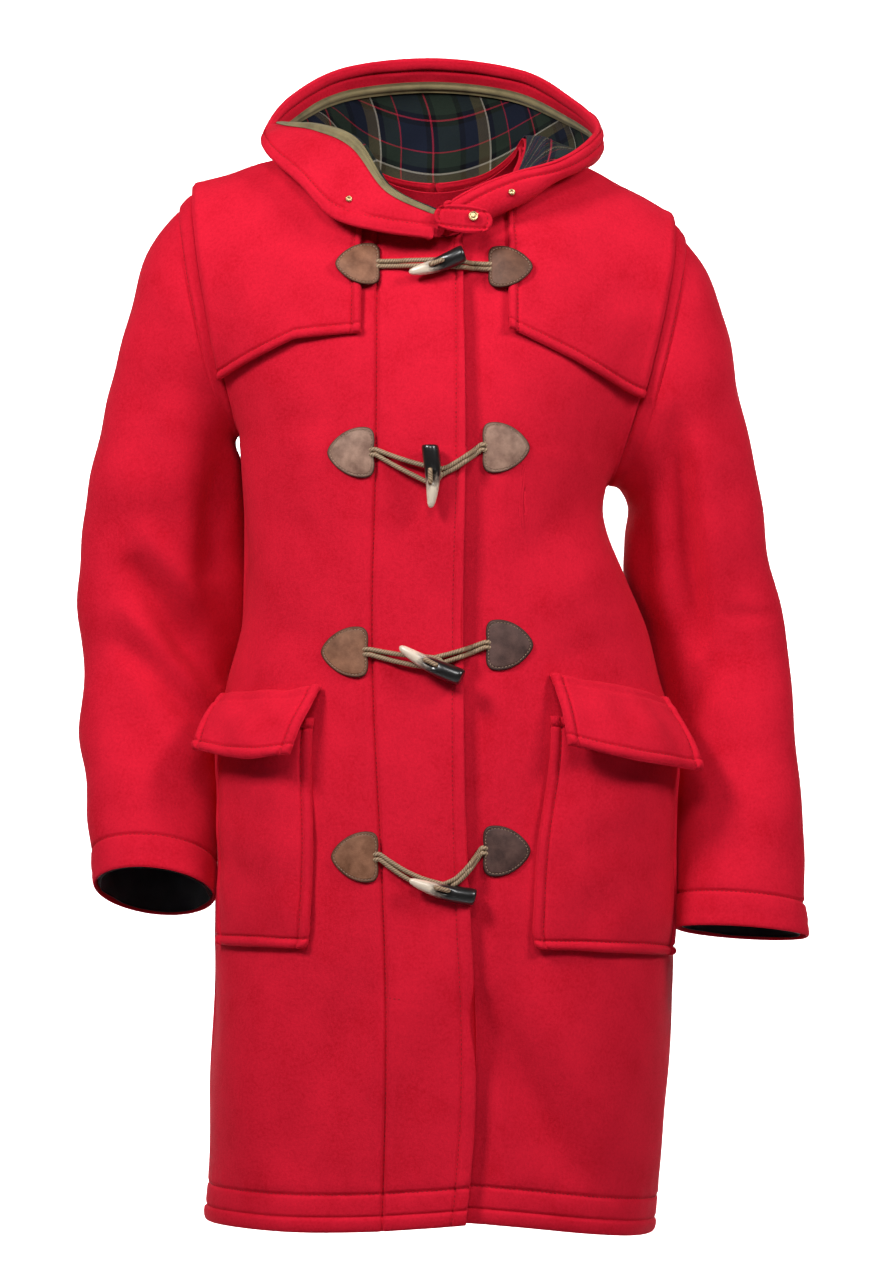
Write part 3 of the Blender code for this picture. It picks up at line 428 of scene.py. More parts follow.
def neckline(across: Grid, face: Face) -> Grid:
    """Where the columns of a panel start.

    Args:
        across: place across the panel, from 0 at the centre.
        face: front or back.

    Returns:
        A place down the body surface for each column.
    """
    tip = ARMHOLES[Side.RIGHT]["tip"][0]
    edge = math.asin(NECK_HALF_WIDTH / tip * math.sin(SHOULDER_TURN)) / SHOULDER_TURN
    inside = np.sqrt(np.maximum(0.0, 1 - (across / edge) ** 2))
    return np.maximum(0.0008, NECK_DROP[face] * inside)


def bisect(test: Callable[[Grid], Grid], low: Grid, high: Grid) -> Grid:
    """Find where a rising test crosses nought.

    Args:
        test: gives a value for each entry of an array.
        low: where the search starts, with the test below nought.
        high: where it ends, with the test above nought.

    Returns:
        The crossings.
    """
    low = np.array(low, dtype=float)
    high = np.array(high, dtype=float)
    for _ in range(36):
        middle = (low + high) / 2
        over = test(middle) > 0
        high = np.where(over, middle, high)
        low = np.where(over, low, middle)
    return (low + high) / 2


def hood_surface(a: Grid, b: Grid) -> Grid:
    """Points of the hood's surface.

    Args:
        a: shares round the neck.
        b: shares from the neck seam to the opening edge.

    Returns:
        A point for each pair of shares.
    """
    lines = [through(np.array([station[key] for station in HOOD_STATIONS]), a) for key in HOOD_STATIONS[0]]
    return through(np.array(lines), b)


def noise_field(points: Grid, size: float, seed: int) -> Grid:
    """Cheap smooth noise of about +-1, as a sum of seeded waves.

    Args:
        points: (..., 3) positions.
        size: rough size of the lumps.
        seed: number that fixes the waves.

    Returns:
        A value for each position.
    """
    chance = np.random.default_rng(seed)
    total = np.zeros(points.shape[:-1])
    for _ in range(14):
        way = chance.normal(size=3)
        way *= chance.uniform(0.6, 1.6) * 2 * math.pi / size / np.linalg.norm(way)
        total += np.sin(points @ way + chance.uniform(0, 2 * math.pi))
    return total / 3.7


@dataclass(frozen=True)
class Crease:
    """A soft trough or ridge along a bent line seen from the front.

    start, middle and end are places in x and z; depth is below nought for a trough.
    """

    start: tuple[float, float]
    middle: tuple[float, float]
    end: tuple[float, float]
    depth: float
    width: float

    def height(self, points: Grid) -> Grid:
        """Height that the crease adds.

        Args:
            points: (..., 3) positions.

        Returns:
            A height for each position.
        """
        spots = points[..., (0, 2)]
        total = np.zeros(spots.shape[:-1])
        start, middle, end = (np.array(place) for place in (self.start, self.middle, self.end))
        corners = [
            start * (1 - t) ** 2 + middle * 2 * t * (1 - t) + end * t**2
            for t in np.linspace(0.0, 1.0, 9)
        ]
        for index, (first, second) in enumerate(zip(corners[:-1], corners[1:])):
            way = second - first
            t = np.clip(((spots - first) @ way) / (way @ way), 0.0, 1.0)
            gap = np.linalg.norm(spots - first - t[..., None] * way, axis=-1)
            fade = arch((index + t) / (len(corners) - 1), 0.7)
            total = np.maximum(total, fade * bell(gap, self.width))
        return self.depth * total


# Meshes


def add_mesh(name: str, vertices: Grid, faces: list, uv: Grid | None = None) -> Piece:
    """Link a smooth mesh object.

    Args:
        name: the object's name.
        vertices: (N, 3) positions.
        faces: vertex numbers of each face.
        uv: (N, 2) map coordinates of the vertices, where the finish needs them.

    Returns:
        The object.
    """
    mesh = bpy.data.meshes.new(name)
    mesh.from_pydata(np.asarray(vertices, dtype=float).tolist(), [], faces)
    mesh.update()
    mesh.shade_smooth()
    if uv is not None:
        layer = mesh.uv_layers.new(name="cloth")
        corners = np.empty(len(mesh.loops), dtype=np.int32)
        mesh.loops.foreach_get("vertex_index", corners)
        layer.data.foreach_set("uv", np.asarray(uv, dtype=np.float32)[corners].ravel())
    thing = bpy.data.objects.new(name, mesh)
    bpy.context.scene.collection.objects.link(thing)
    return thing


def grid_normals(points: Grid, wrap: bool, outward: Grid) -> Grid:
    """Unit normals of a grid, turned to agree with a hint.

    Args:
        points: (R, C, 3) grid.
        wrap: whether the columns close round a tube.
        outward: a vector, or a vector for each point, on the outer side.

    Returns:
        (R, C, 3) normals.
    """
    if wrap:
        across = np.roll(points, -1, axis=1) - np.roll(points, 1, axis=1)
    else:
        across = np.gradient(points, axis=1)
    down = np.gradient(points, axis=0)
    normal = unit(np.cross(across, down))
    agree = np.sign((normal * outward).sum(axis=(0, 1, 2)))
    return normal * (agree if agree else 1.0)


def respaced(points: Grid, marks: tuple, step: float) -> Grid:
    """Respace each row of a grid, so that its columns crowd round some places along it.

    Args:
        points: (R, C, 3) dense grid.
        marks: rising distances along the rows, each a number or one for each row; one below
            nought counts from the row's end.
        step: usual spacing between the marks.

    Returns:
        The respaced grid.
    """
    reach = reach_along(points, axis=1)
    total = reach[:, -1]
    places = [np.zeros_like(total)]
    for mark in marks:
        value = np.broadcast_to(np.asarray(mark, dtype=float), total.shape)
        places.append(np.where(value < 0, total + value, value))
    places.append(total)
    parts = []
    for low, high in zip(places[:-1], places[1:]):
        span = (high - low)[:, None]
        near = CROWD[None, :] * np.minimum(1.0, span / (CROWD_ROOM * CROWD[-1]))
        count = max(2, int(round((span.mean() - 2 * CROWD[-1]) / step)))
        share = np.linspace(0.0, 1.0, count + 1)[None, 1:-1]
        middle = near[:, -1:] + (span - 2 * near[:, -1:]) * share
        parts += [low[:, None] + near, low[:, None] + middle, high[:, None] - near[:, :0:-1]]
    target = np.concatenate(parts + [total[:, None]], axis=1)
    return np.array([sample(line, lengths, goals) for line, lengths, goals in zip(points, reach, target)])


def respaced_down(points: Grid, marks: tuple, step: float) -> Grid:
    """The same as respaced, for the columns of a grid."""
    return respaced(points.transpose(1, 0, 2), marks, step).transpose(1, 0, 2)


def ring_faces(rings: int, sides: int, capped: bool = True) -> list:
    """Faces of a closed skin over rings of points.

    Args:
        rings: how many rings there are.
        sides: how many points each ring has.
        capped: whether the first and last rings are filled.

    Returns:
        Vertex numbers of each face, ring by ring and then the caps.
    """
    faces = []
    for low in range(0, (rings - 1) * sides, sides):
        for index in range(sides):
            beside = (index + 1) % sides
            faces.append((low + index, low + beside, low + sides + beside, low + sides + index))
    if capped:
        faces.append(tuple(range((rings - 1) * sides, rings * sides)))
        faces.append(tuple(reversed(range(sides))))
    return faces


@dataclass
class ClothShell:
    """A cloth wall on a grid of points, with finished borders, relief and topstitching.

    points is the wall's middle, (R, C, 3); borders name the finish of the start and end of the
    columns (left, right) and rows (top, bottom).
    """

    name: str
    points: Grid
    outward: Grid
    wall: float = WALL
    left: Edge = Edge.SEAM
    right: Edge = Edge.SEAM
    top: Edge = Edge.SEAM
    bottom: Edge = Edge.SEAM
    wrap: bool = False
    stitch: float = 0.0085
    puff: float = 0.0014
    groove: float = 0.0014
    groove_width: float = 0.0016
    seam_dip: float = 0.0016
    seam_dip_width: float = 0.0024
    seam_swell: float = 0.0009
    seam_swell_place: float = 0.0050
    seam_swell_width: float = 0.0030
    relief: Grid | None = None
    outer: Grid = field(init=False)
    normals: Grid = field(init=False)
    distances: dict = field(init=False)

    def border_distances(self) -> dict[str, Grid]:
        """Distance of each grid point from each border, along the cloth."""
        left, top = reach_along(self.points, axis=1), reach_along(self.points)
        return dict(left=left, right=left[:, -1:] - left, top=top, bottom=top[-1:] - top)

    def finish_borders(self) -> Lines:
        """Height that the borders add, and the share of the wall left at their rounded rims."""
        height = np.zeros(self.points.shape[:2])
        rounding = np.ones(self.points.shape[:2])
        for border, gap in self.distances.items():
            kind = getattr(self, border)
            if kind is Edge.TURNED:
                height += self.puff * arch(gap / self.stitch, 0.8)
                height -= self.groove * bell(gap - self.stitch, self.groove_width)
                reach = np.clip(gap / (0.75 * self.wall), 0.0, 1.0)
                rounding = np.minimum(rounding, np.sqrt(1 - (1 - reach) ** 2))
            elif kind is Edge.SEAM and not (self.wrap and border in ("left", "right")):
                height += self.seam_swell * bell(gap - self.seam_swell_place, self.seam_swell_width)
                height -= self.seam_dip * bell(gap, self.seam_dip_width)
        return height, rounding

    def wall_faces(self) -> Grid:
        """Quads of the outer side, the inner side and the rims, wound to face outwards."""
        rows, columns = self.points.shape[:2]
        spans = columns if self.wrap else columns - 1
        here = np.arange(rows * columns).reshape(rows, columns)
        beside = np.roll(here, -1, axis=1)
        quads = np.stack([here[:-1], beside[:-1], beside[1:], here[1:]], axis=-1)[:, :spans].reshape(-1, 4)
        rims = [(beside[0, :spans], here[0, :spans]), (here[-1, :spans], beside[-1, :spans])]
        if not self.wrap:
            rims += [(here[:-1, 0], here[1:, 0]), (here[1:, -1], here[:-1, -1])]
        rim = np.concatenate([np.stack(pair, axis=1) for pair in rims])
        faces = np.concatenate([
            quads, quads[:, ::-1] + here.size, np.concatenate([rim, rim[:, ::-1] + here.size], axis=1),
        ])
        row, column = rows // 2, columns // 2
        middle = self.outer[row, column]
        turn = np.cross(self.outer[row, column + 1] - middle, self.outer[row + 1, column] - middle)
        return faces if turn @ self.normals[row, column] > 0 else faces[:, ::-1]

    def build(self) -> Piece:
        """Make the closed wall.

        Returns:
            The mesh object, with map coordinates in metres along the cloth.
        """
        self.distances = self.border_distances()
        self.normals = grid_normals(self.points, self.wrap, self.outward)
        height, rounding = self.finish_borders()
        relief = 0.0 if self.relief is None else self.relief
        half = self.wall / 2 * rounding
        self.outer = self.points + self.normals * (half + (height + relief))[..., None]
        inner = self.points - self.normals * (half - relief)[..., None]
        vertices = np.concatenate([self.outer.reshape(-1, 3), inner.reshape(-1, 3)])
        uv = np.stack([self.distances["left"], self.distances["top"]], axis=-1).reshape(-1, 2)
        return add_mesh(f"{self.name}_cloth", vertices, self.wall_faces().tolist(), np.concatenate([uv, uv]))

    def line_beside(self, border: str, distance: float, start: float = 0.0, end: float = 1.0) -> Lines:
        """A line on the outer side at a distance from a border.

        Args:
            border: name of the border.
            distance: how far in from it.
            start: share along the border where the line starts.
            end: share along the border where it ends.

        Returns:
            Points and normals of the line.
        """
        gap, outer, normals = self.distances[border], self.outer, self.normals
        if border in ("top", "bottom"):
            gap, outer, normals = gap.T, outer.transpose(1, 0, 2), normals.transpose(1, 0, 2)
        lanes = range(int(start * (len(gap) - 1)), int(end * (len(gap) - 1)) + 1)
        spots, turned = [], []
        for lane in lanes:
            order = np.argsort(gap[lane])
            spots.append(sample(outer[lane, order], gap[lane, order], distance))
            turned.append(sample(normals[lane, order], gap[lane, order], distance))
        return np.array(spots), np.array(turned)


@dataclass
class Stitching:
    """Rows of small raised stitches, gathered into one mesh."""

    name: str
    pitch: float = 0.0042
    length: float = 0.0029
    radius: float = 0.00042
    vertices: list = field(default_factory=list)
    faces: list = field(default_factory=list)

    def sew(self, points: Grid, normals: Grid) -> None:
        """Add a row of stitches along a line.

        Args:
            points: the line's points.
            normals: the cloth's normals along it.
        """
        reach = reach_along(points)
        for centre in np.arange(self.pitch / 2, reach[-1], self.pitch):
            first = sample(points, reach, centre - self.length / 2)
            second = sample(points, reach, centre + self.length / 2)
            self.add_stitch(first, second, unit(sample(normals, reach, centre)))

    def add_stitch(self, first: Grid, second: Grid, normal: Grid) -> None:
        """Add one stitch, a short bead with pointed ends that dive into the cloth.

        Args:
            first: where the stitch comes up.
            second: where it goes down.
            normal: the cloth's normal.
        """
        span = np.linalg.norm(second - first)
        if span < 1e-6:
            return
        way = (second - first) / span
        side = np.cross(normal, way)
        base = len(self.vertices)
        self.vertices.append(first - normal * self.radius)
        for place in (0.25, 0.75):
            middle = first + way * span * place + normal * self.radius * 0.35
            for turn in range(5):
                angle = 2 * math.pi * turn / 5
                ring = side * math.cos(angle) + normal * math.sin(angle)
                self.vertices.append(middle + self.radius * ring)
        self.vertices.append(second - normal * self.radius)
        for turn in range(5):
            here, beside = base + 1 + turn, base + 1 + (turn + 1) % 5
            self.faces.append((base, beside, here))
            self.faces.append((here, beside, beside + 5, here + 5))
            self.faces.append((here + 5, beside + 5, base + 11))

    def build(self) -> Piece:
        """Make the mesh of all the stitches so far."""
        return add_mesh(self.name, np.array(self.vertices), self.faces)


# Finishes


def grey(value: float) -> Colour:
    """A colour without hue."""
    return (value, value, value)


class Nodes:
    """Short helper that lays out a material's nodes."""

    def __init__(self, name: str) -> None:
        """Start a material with its Principled shader.

        Args:
            name: the material's name.
        """
        self.material = bpy.data.materials.new(name)
        self.material.use_nodes = True
        self.tree = self.material.node_tree
        self.shader = self.tree.nodes["Principled BSDF"]

    def add(self, kind: str, **inputs: object) -> bpy.types.Node:
        """Add a node and set its inputs, or link them where the value is a socket.

        Args:
            kind: the node's type.
            inputs: values by the name of the input.

        Returns:
            The node.
        """
        node = self.tree.nodes.new(kind)
        for name, value in inputs.items():
            self.put(node.inputs[name.replace("_", " ")], value)
        return node

    def put(self, socket: Socket, value: object) -> None:
        """Link a socket to another, or set its value.

        Args:
            socket: the input.
            value: a socket or a plain value.
        """
        if isinstance(value, Socket):
            self.tree.links.new(value, socket)
        else:
            socket.default_value = value

    def place(self, kind: str = "Object") -> Socket:
        """Texture coordinates of one kind."""
        return self.tree.nodes.new("ShaderNodeTexCoord").outputs[kind]

    def map_places(self) -> tuple[Socket, Socket]:
        """The two map coordinates, each on its own."""
        split = self.add("ShaderNodeSeparateXYZ", Vector=self.place("UV"))
        return split.outputs["X"], split.outputs["Y"]

    def noise(
        self, at: Socket, scale: float, detail: float = 3.0, rough: float = 0.55,
    ) -> Socket:
        """Noise.

        Args:
            at: its coordinates.
            scale: lumps in a metre.
            detail: octaves.
            rough: strength of the finer octaves.

        Returns:
            The value's socket.
        """
        node = self.add("ShaderNodeTexNoise", Vector=at, Scale=scale, Detail=detail, Roughness=rough)
        return node.outputs["Fac"]

    def math(self, operation: str, first: object, second: object = 0.0) -> Socket:
        """Math node.

        Args:
            operation: the node's operation.
            first: a number or a socket.
            second: a number or a socket.

        Returns:
            The result's socket.
        """
        node = self.tree.nodes.new("ShaderNodeMath")
        node.operation = operation
        self.put(node.inputs[0], first)
        self.put(node.inputs[1], second)
        return node.outputs[0]

    def ramp(self, fac: Socket, stops: tuple, constant: bool = False) -> Socket:
        """Colour ramp.

        Args:
            fac: what drives it.
            stops: a place and a colour for each stop.
            constant: whether the colours change in steps.

        Returns:
            The colour's socket.
        """
        node = self.add("ShaderNodeValToRGB", Fac=fac)
        ramp = node.color_ramp
        ramp.interpolation = "CONSTANT" if constant else "LINEAR"
        while len(ramp.elements) < len(stops):
            ramp.elements.new(0.5)
        for element, (place, colour) in zip(ramp.elements, stops):
            element.position = place
            element.color = (*colour, 1.0)
        return node.outputs["Color"]

    def mix(self, fac: object, first: object, second: object, blend: str = "MIX") -> Socket:
        """Mix of two colours.

        Args:
            fac: share of the second, a number or a socket.
            first: a colour or a socket.
            second: a colour or a socket.
            blend: how they mix.

        Returns:
            The mixed colour's socket.
        """
        node = self.tree.nodes.new("ShaderNodeMix")
        node.data_type = "RGBA"
        node.blend_type = blend
        self.put(node.inputs[0], fac)
        for place, colour in ((6, first), (7, second)):
            linked = isinstance(colour, Socket)
            self.put(node.inputs[place], colour if linked else (*colour, 1.0))
        return node.outputs[2]

    def bump(
        self, height: Socket, distance: float, strength: float, under: object = None,
    ) -> Socket:
        """Bump, on top of another one where there is one under it.

        Args:
            height: what drives it.
            distance: the relief's height.
            strength: how much of it shows.
            under: the bump below.

        Returns:
            The normal's socket.
        """
        node = self.add("ShaderNodeBump", Height=height, Distance=distance, Strength=strength)
        if under is not None:
            self.put(node.inputs["Normal"], under)
        return node.outputs["Normal"]

    def shade(
        self, colour: object, roughness: object, normal: object = None, **values: object,
    ) -> Material:
        """Fill in the shader.

        Args:
            colour: the base colour.
            roughness: the roughness.
            normal: the bump, where there is one.
            values: other inputs by name.

        Returns:
            The material.
        """
        self.put(self.shader.inputs["Base Color"], colour)
        self.put(self.shader.inputs["Roughness"], roughness)
        if normal is not None:
            self.put(self.shader.inputs["Normal"], normal)
        for name, value in values.items():
            self.shader.inputs[name.replace("_", " ")].default_value = value
        return self.material


@dataclass(frozen=True)
class MeltonWool:
    """Brushed, felted wool with a short nap."""

    name: str = "melton_wool"
    deep: Colour = (0.500, 0.0045, 0.0165)
    main: Colour = (0.590, 0.0088, 0.0280)
    light: Colour = (0.680, 0.0110, 0.0330)
    sheen: float = 0.10

    def make(self) -> Material:
        """Build the material."""
        nodes = Nodes(self.name)
        at = nodes.place()
        cloud = nodes.noise(at, 26.0, 4.0)
        clump = nodes.noise(at, 420.0, 4.0, 0.65)
        fibre = nodes.noise(at, 1700.0, 3.0, 0.7)
        tone = nodes.math("ADD", nodes.math("MULTIPLY", cloud, 0.45), nodes.math("MULTIPLY", clump, 0.55))
        colour = nodes.ramp(tone, ((0.32, self.deep), (0.50, self.main), (0.70, self.light)))
        speckle = nodes.ramp(fibre, ((0.35, grey(0.82)), (0.65, grey(1.0))))
        colour = nodes.mix(0.5, colour, speckle, "MULTIPLY")
        coarse = nodes.bump(clump, 0.0010, 0.35)
        fine = nodes.bump(fibre, 0.0005, 0.4, coarse)
        return nodes.shade(
            colour, 0.95, fine, Sheen_Weight=self.sheen, Sheen_Roughness=0.5,
            Sheen_Tint=(1.0, 0.10, 0.14, 1.0), Specular_IOR_Level=0.08,
        )


@dataclass(frozen=True)
class CheckLining:
    """Dark woven check: navy and bottle green grounds, fine red and white lines, a tan bar."""

    name: str = "check_lining"
    repeat: float = 0.105
    wales: float = 700.0
    navy: Colour = (0.012, 0.016, 0.032)
    green: Colour = (0.022, 0.034, 0.024)
    black: Colour = (0.006, 0.006, 0.008)
    red: Colour = (0.480, 0.020, 0.050)
    white: Colour = (0.520, 0.470, 0.380)
    tan: Colour = (0.110, 0.085, 0.045)

    def sett(self) -> tuple:
        """Stripes of one repeat, as stops of a constant ramp."""
        return (
            (0.000, self.navy), (0.170, self.black), (0.215, self.red), (0.232, self.black),
            (0.275, self.green), (0.470, self.black), (0.520, self.navy), (0.640, self.tan),
            (0.735, self.white), (0.752, self.black), (0.800, self.green), (0.930, self.red),
            (0.944, self.navy),
        )

    def make(self) -> Material:
        """Build the material."""
        nodes = Nodes(self.name)
        across, along = nodes.map_places()
        warp, weft = (
            nodes.ramp(nodes.math("FRACT", nodes.math("DIVIDE", place, self.repeat)), self.sett(), True)
            for place in (across, along)
        )
        slant = nodes.math("ADD", across, along)
        twill = nodes.math("FRACT", nodes.math("MULTIPLY", slant, self.wales))
        colour = nodes.mix(nodes.math("GREATER_THAN", twill, 0.5), warp, weft)
        fuzz = nodes.noise(nodes.place(), 900.0)
        colour = nodes.mix(0.5, colour, nodes.ramp(fuzz, ((0.3, grey(0.6)), (0.7, grey(1.0)))), "MULTIPLY")
        normal = nodes.bump(twill, 0.0004, 0.5)
        return nodes.shade(colour, 0.9, normal, Sheen_Weight=0.02, Specular_IOR_Level=0.1)


@dataclass(frozen=True)
class PlainWeave:
    """A fine plain cloth, ribbed across."""

    name: str
    colour: Colour
    ribs: float = 900.0
    roughness: float = 0.7
    sheen: float = 0.1

    def make(self) -> Material:
        """Build the material."""
        nodes = Nodes(self.name)
        across, _ = nodes.map_places()
        rib = nodes.math("SINE", nodes.math("MULTIPLY", across, self.ribs * 2 * math.pi))
        cloud = nodes.noise(nodes.place(), 60.0, 4.0)
        dark = tuple(value * 0.62 for value in self.colour)
        pale = tuple(min(1.0, value * 1.25) for value in self.colour)
        colour = nodes.ramp(cloud, ((0.3, dark), (0.5, self.colour), (0.75, pale)))
        normal = nodes.bump(rib, 0.0003, 0.5)
        return nodes.shade(colour, self.roughness, normal, Sheen_Weight=self.sheen, Specular_IOR_Level=0.3)


@dataclass(frozen=True)
class WornLeather:
    """Smooth brown leather, darker at its rubbed rim, with fine grain."""

    name: str
    main: Colour
    pale: Colour
    rim: Colour = (0.030, 0.012, 0.008)

    def make(self) -> Material:
        """Build the material. The map's X runs from 0 at the rim to 1 in the middle."""
        nodes = Nodes(self.name)
        at = nodes.place()
        inside, _ = nodes.map_places()
        cloud = nodes.noise(at, 85.0, 5.0, 0.6)
        grain = nodes.noise(at, 900.0, 4.0, 0.6)
        pore = nodes.add("ShaderNodeTexVoronoi", Vector=at, Scale=1300.0).outputs["Distance"]
        colour = nodes.ramp(cloud, ((0.32, self.main), (0.72, self.pale)))
        rim = nodes.ramp(inside, ((0.0, grey(0.0)), (0.16, grey(0.75)), (0.4, grey(1.0))))
        colour = nodes.mix(rim, self.rim, colour)
        rough = nodes.ramp(grain, ((0.3, grey(0.46)), (0.7, grey(0.62))))
        normal = nodes.bump(pore, 0.0003, 0.35, nodes.bump(grain, 0.0004, 0.3))
        return nodes.shade(colour, rough, normal, Specular_IOR_Level=0.3)


@dataclass(frozen=True)
class PolishedHorn:
    """Horn: cream at the pointed tip, streaked grey in the middle, black at the blunt end."""

    name: str = "polished_horn"
    cream: Colour = (0.640, 0.530, 0.420)
    grey: Colour = (0.200, 0.150, 0.120)
    black: Colour = (0.008, 0.007, 0.007)
    stretch: tuple[float, float, float] = (5.0, 9.0, 1.0)

    def make(self) -> Material:
        """Build the material. The map's X runs along the toggle from its tip."""
        nodes = Nodes(self.name)
        along, _ = nodes.map_places()
        stretch = nodes.add("ShaderNodeMapping", Vector=nodes.place("UV"), Scale=self.stretch)
        streak = nodes.noise(stretch.outputs[0], 1.6, 6.0, 0.7)
        shift = nodes.math("MULTIPLY", nodes.math("SUBTRACT", streak, 0.5), 0.55)
        colour = nodes.ramp(nodes.math("ADD", along, shift), (
            (0.00, self.cream), (0.28, self.cream), (0.42, self.grey), (0.53, self.black), (1.00, self.black),
        ))
        normal = nodes.bump(streak, 0.0004, 0.15)
        return nodes.shade(
            colour, 0.28, normal, Specular_IOR_Level=0.55, Coat_Weight=0.25, Coat_Roughness=0.2,
        )


@dataclass(frozen=True)
class WaxedCord:
    """Twisted cord, its strands drawn by a slanting ridge, with painted shade in the grooves between them."""

    name: str = "waxed_cord"
    colour: Colour = (0.420, 0.290, 0.180)
    # painted shade: the colour of the grooves between the strands
    dark: Colour = (0.120, 0.072, 0.038)
    strands: float = 3.0
    twist: float = 420.0

    def make(self) -> Material:
        """Build the material. The map's X runs round the cord once and its Y along it in metres."""
        nodes = Nodes(self.name)
        around, along = nodes.map_places()
        turns = nodes.math("MULTIPLY", around, self.strands)
        wind = nodes.math("ADD", turns, nodes.math("MULTIPLY", along, self.twist))
        ridge = nodes.math("ABSOLUTE", nodes.math("SUBTRACT", nodes.math("FRACT", wind), 0.5))
        fuzz = nodes.noise(nodes.place(), 700.0)
        # Painted shade: the colour runs from the strand's own colour in the middle of each strand to the dark
        # groove colour between strands, where the bump is low.
        tone = nodes.math("ADD", nodes.math("MULTIPLY", ridge, 1.3), nodes.math("MULTIPLY", fuzz, 0.4))
        colour = nodes.ramp(tone, ((0.15, self.colour), (0.85, self.dark)))
        normal = nodes.bump(nodes.math("SUBTRACT", 1.0, ridge), 0.0006, 0.8)
        return nodes.shade(colour, 0.5, normal, Specular_IOR_Level=0.4)


@dataclass(frozen=True)
class AgedBrass:
    """Brass with a dulled, slightly stained face."""

    name: str = "aged_brass"

    def make(self) -> Material:
        """Build the material."""
        nodes = Nodes(self.name)
        stain = nodes.noise(nodes.place(), 900.0, 4.0)
        colour = nodes.ramp(stain, ((0.35, (0.30, 0.19, 0.08)), (0.65, (0.72, 0.52, 0.27))))
        rough = nodes.ramp(stain, ((0.3, grey(0.45)), (0.7, grey(0.25))))
        return nodes.shade(colour, rough, nodes.bump(stain, 0.0002, 0.2), Metallic=1.0)


@dataclass(frozen=True)
class PalePaint:
    """Plain pale studio floor and wall."""

    name: str = "studio_paint"
    colour: Colour = grey(0.92)

    def make(self) -> Material:
        """Build the material."""
        nodes = Nodes(self.name)
        mottle = nodes.noise(nodes.place(), 3.0)
        colour = nodes.ramp(mottle, ((0.3, self.colour), (0.7, tuple(value * 0.99 for value in self.colour))))
        return nodes.shade(colour, 0.9, None, Specular_IOR_Level=0.1)


class Wardrobe:
    """Every finish of the coat, made once."""

    def __init__(self) -> None:
        """Make the finishes."""
        self.wool = MeltonWool().make()
        self.facing = MeltonWool(name="facing_wool").make()
        # Painted shade: the topstitching thread is darker than the wool, so the stitched grooves read as
        # shaded. This is partly the thread's own red and partly painted shade.
        self.thread = PlainWeave("red_thread", (0.34, 0.0025, 0.0120), roughness=0.8, sheen=0.0).make()
        self.check = CheckLining().make()
        self.sleeve_lining = PlainWeave("sleeve_lining", (0.016, 0.014, 0.018), roughness=0.45).make()
        self.binding = PlainWeave("olive_tape", (0.190, 0.150, 0.070), ribs=700.0).make()
        tones = table(
            "name main pale",
            ("pale", (0.170, 0.090, 0.064), (0.370, 0.225, 0.165)),
            ("mid", (0.120, 0.044, 0.020), (0.270, 0.120, 0.066)),
            ("deep", (0.075, 0.028, 0.014), (0.165, 0.070, 0.040)),
            ("dark", (0.036, 0.016, 0.013), (0.105, 0.052, 0.043)),
        )
        self.leather = {
            tone["name"]: WornLeather(f"leather_{tone['name']}", tone["main"], tone["pale"]).make()
            for tone in tones
        }
        self.waxed_thread = PlainWeave("waxed_thread", (0.300, 0.200, 0.130), roughness=0.5).make()
        self.horn = PolishedHorn().make()
        self.cord = WaxedCord().make()
        self.brass = AgedBrass().make()


def dress(piece: Piece, material: Material, slot: str, *nodes: str) -> None:
    """Give a piece its finish and body, and hide the frame nodes that it stands for.

    Args:
        piece: the object.
        material: its finish.
        slot: the record's material slot; not used.
        nodes: the frame nodes that it replaces.
    """
    piece.data.materials.clear()
    piece.data.materials.append(material)
    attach(piece, ROOT)
    if nodes:
        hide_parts(*nodes)
    LOG.info("%s: %d faces", piece.name, len(getattr(piece.data, "polygons", [])))


@dataclass
class SewnPart:
    """Cloth pieces that share the finishes and the topstitching."""

    wardrobe: Wardrobe
    stitching: Stitching

    def put_on(
        self, shell: ClothShell, finish: Material | None = None, slot: str = "wool",
        held: str = "hung", rests_on: tuple[str, ...] = (),
    ) -> None:
        """Args:
            shell: the cloth wall.
            finish: its finish, or None for the wool.
            slot: the record's material slot.
            held: how the sheet is held; not used.
            rests_on: the frame nodes that it rests on; not used.
        """
        piece = shell.build()
        dress(piece, finish or self.wardrobe.wool, slot, shell.name)

    def sew_beside(
        self, shell: ClothShell, borders: tuple[str, ...], distance: float, start: float = 0.0,
        end: float = 1.0,
    ) -> None:
        """Sew a row of stitches beside some borders of a shell.

        Args:
            shell: the cloth wall.
            borders: names of the borders.
            distance: how far in from each.
            start: share along the border where the row starts.
            end: share along the border where it ends.
        """
        for border in borders:
            self.stitching.sew(*shell.line_beside(border, distance, start, end))


# Sub-assemblies


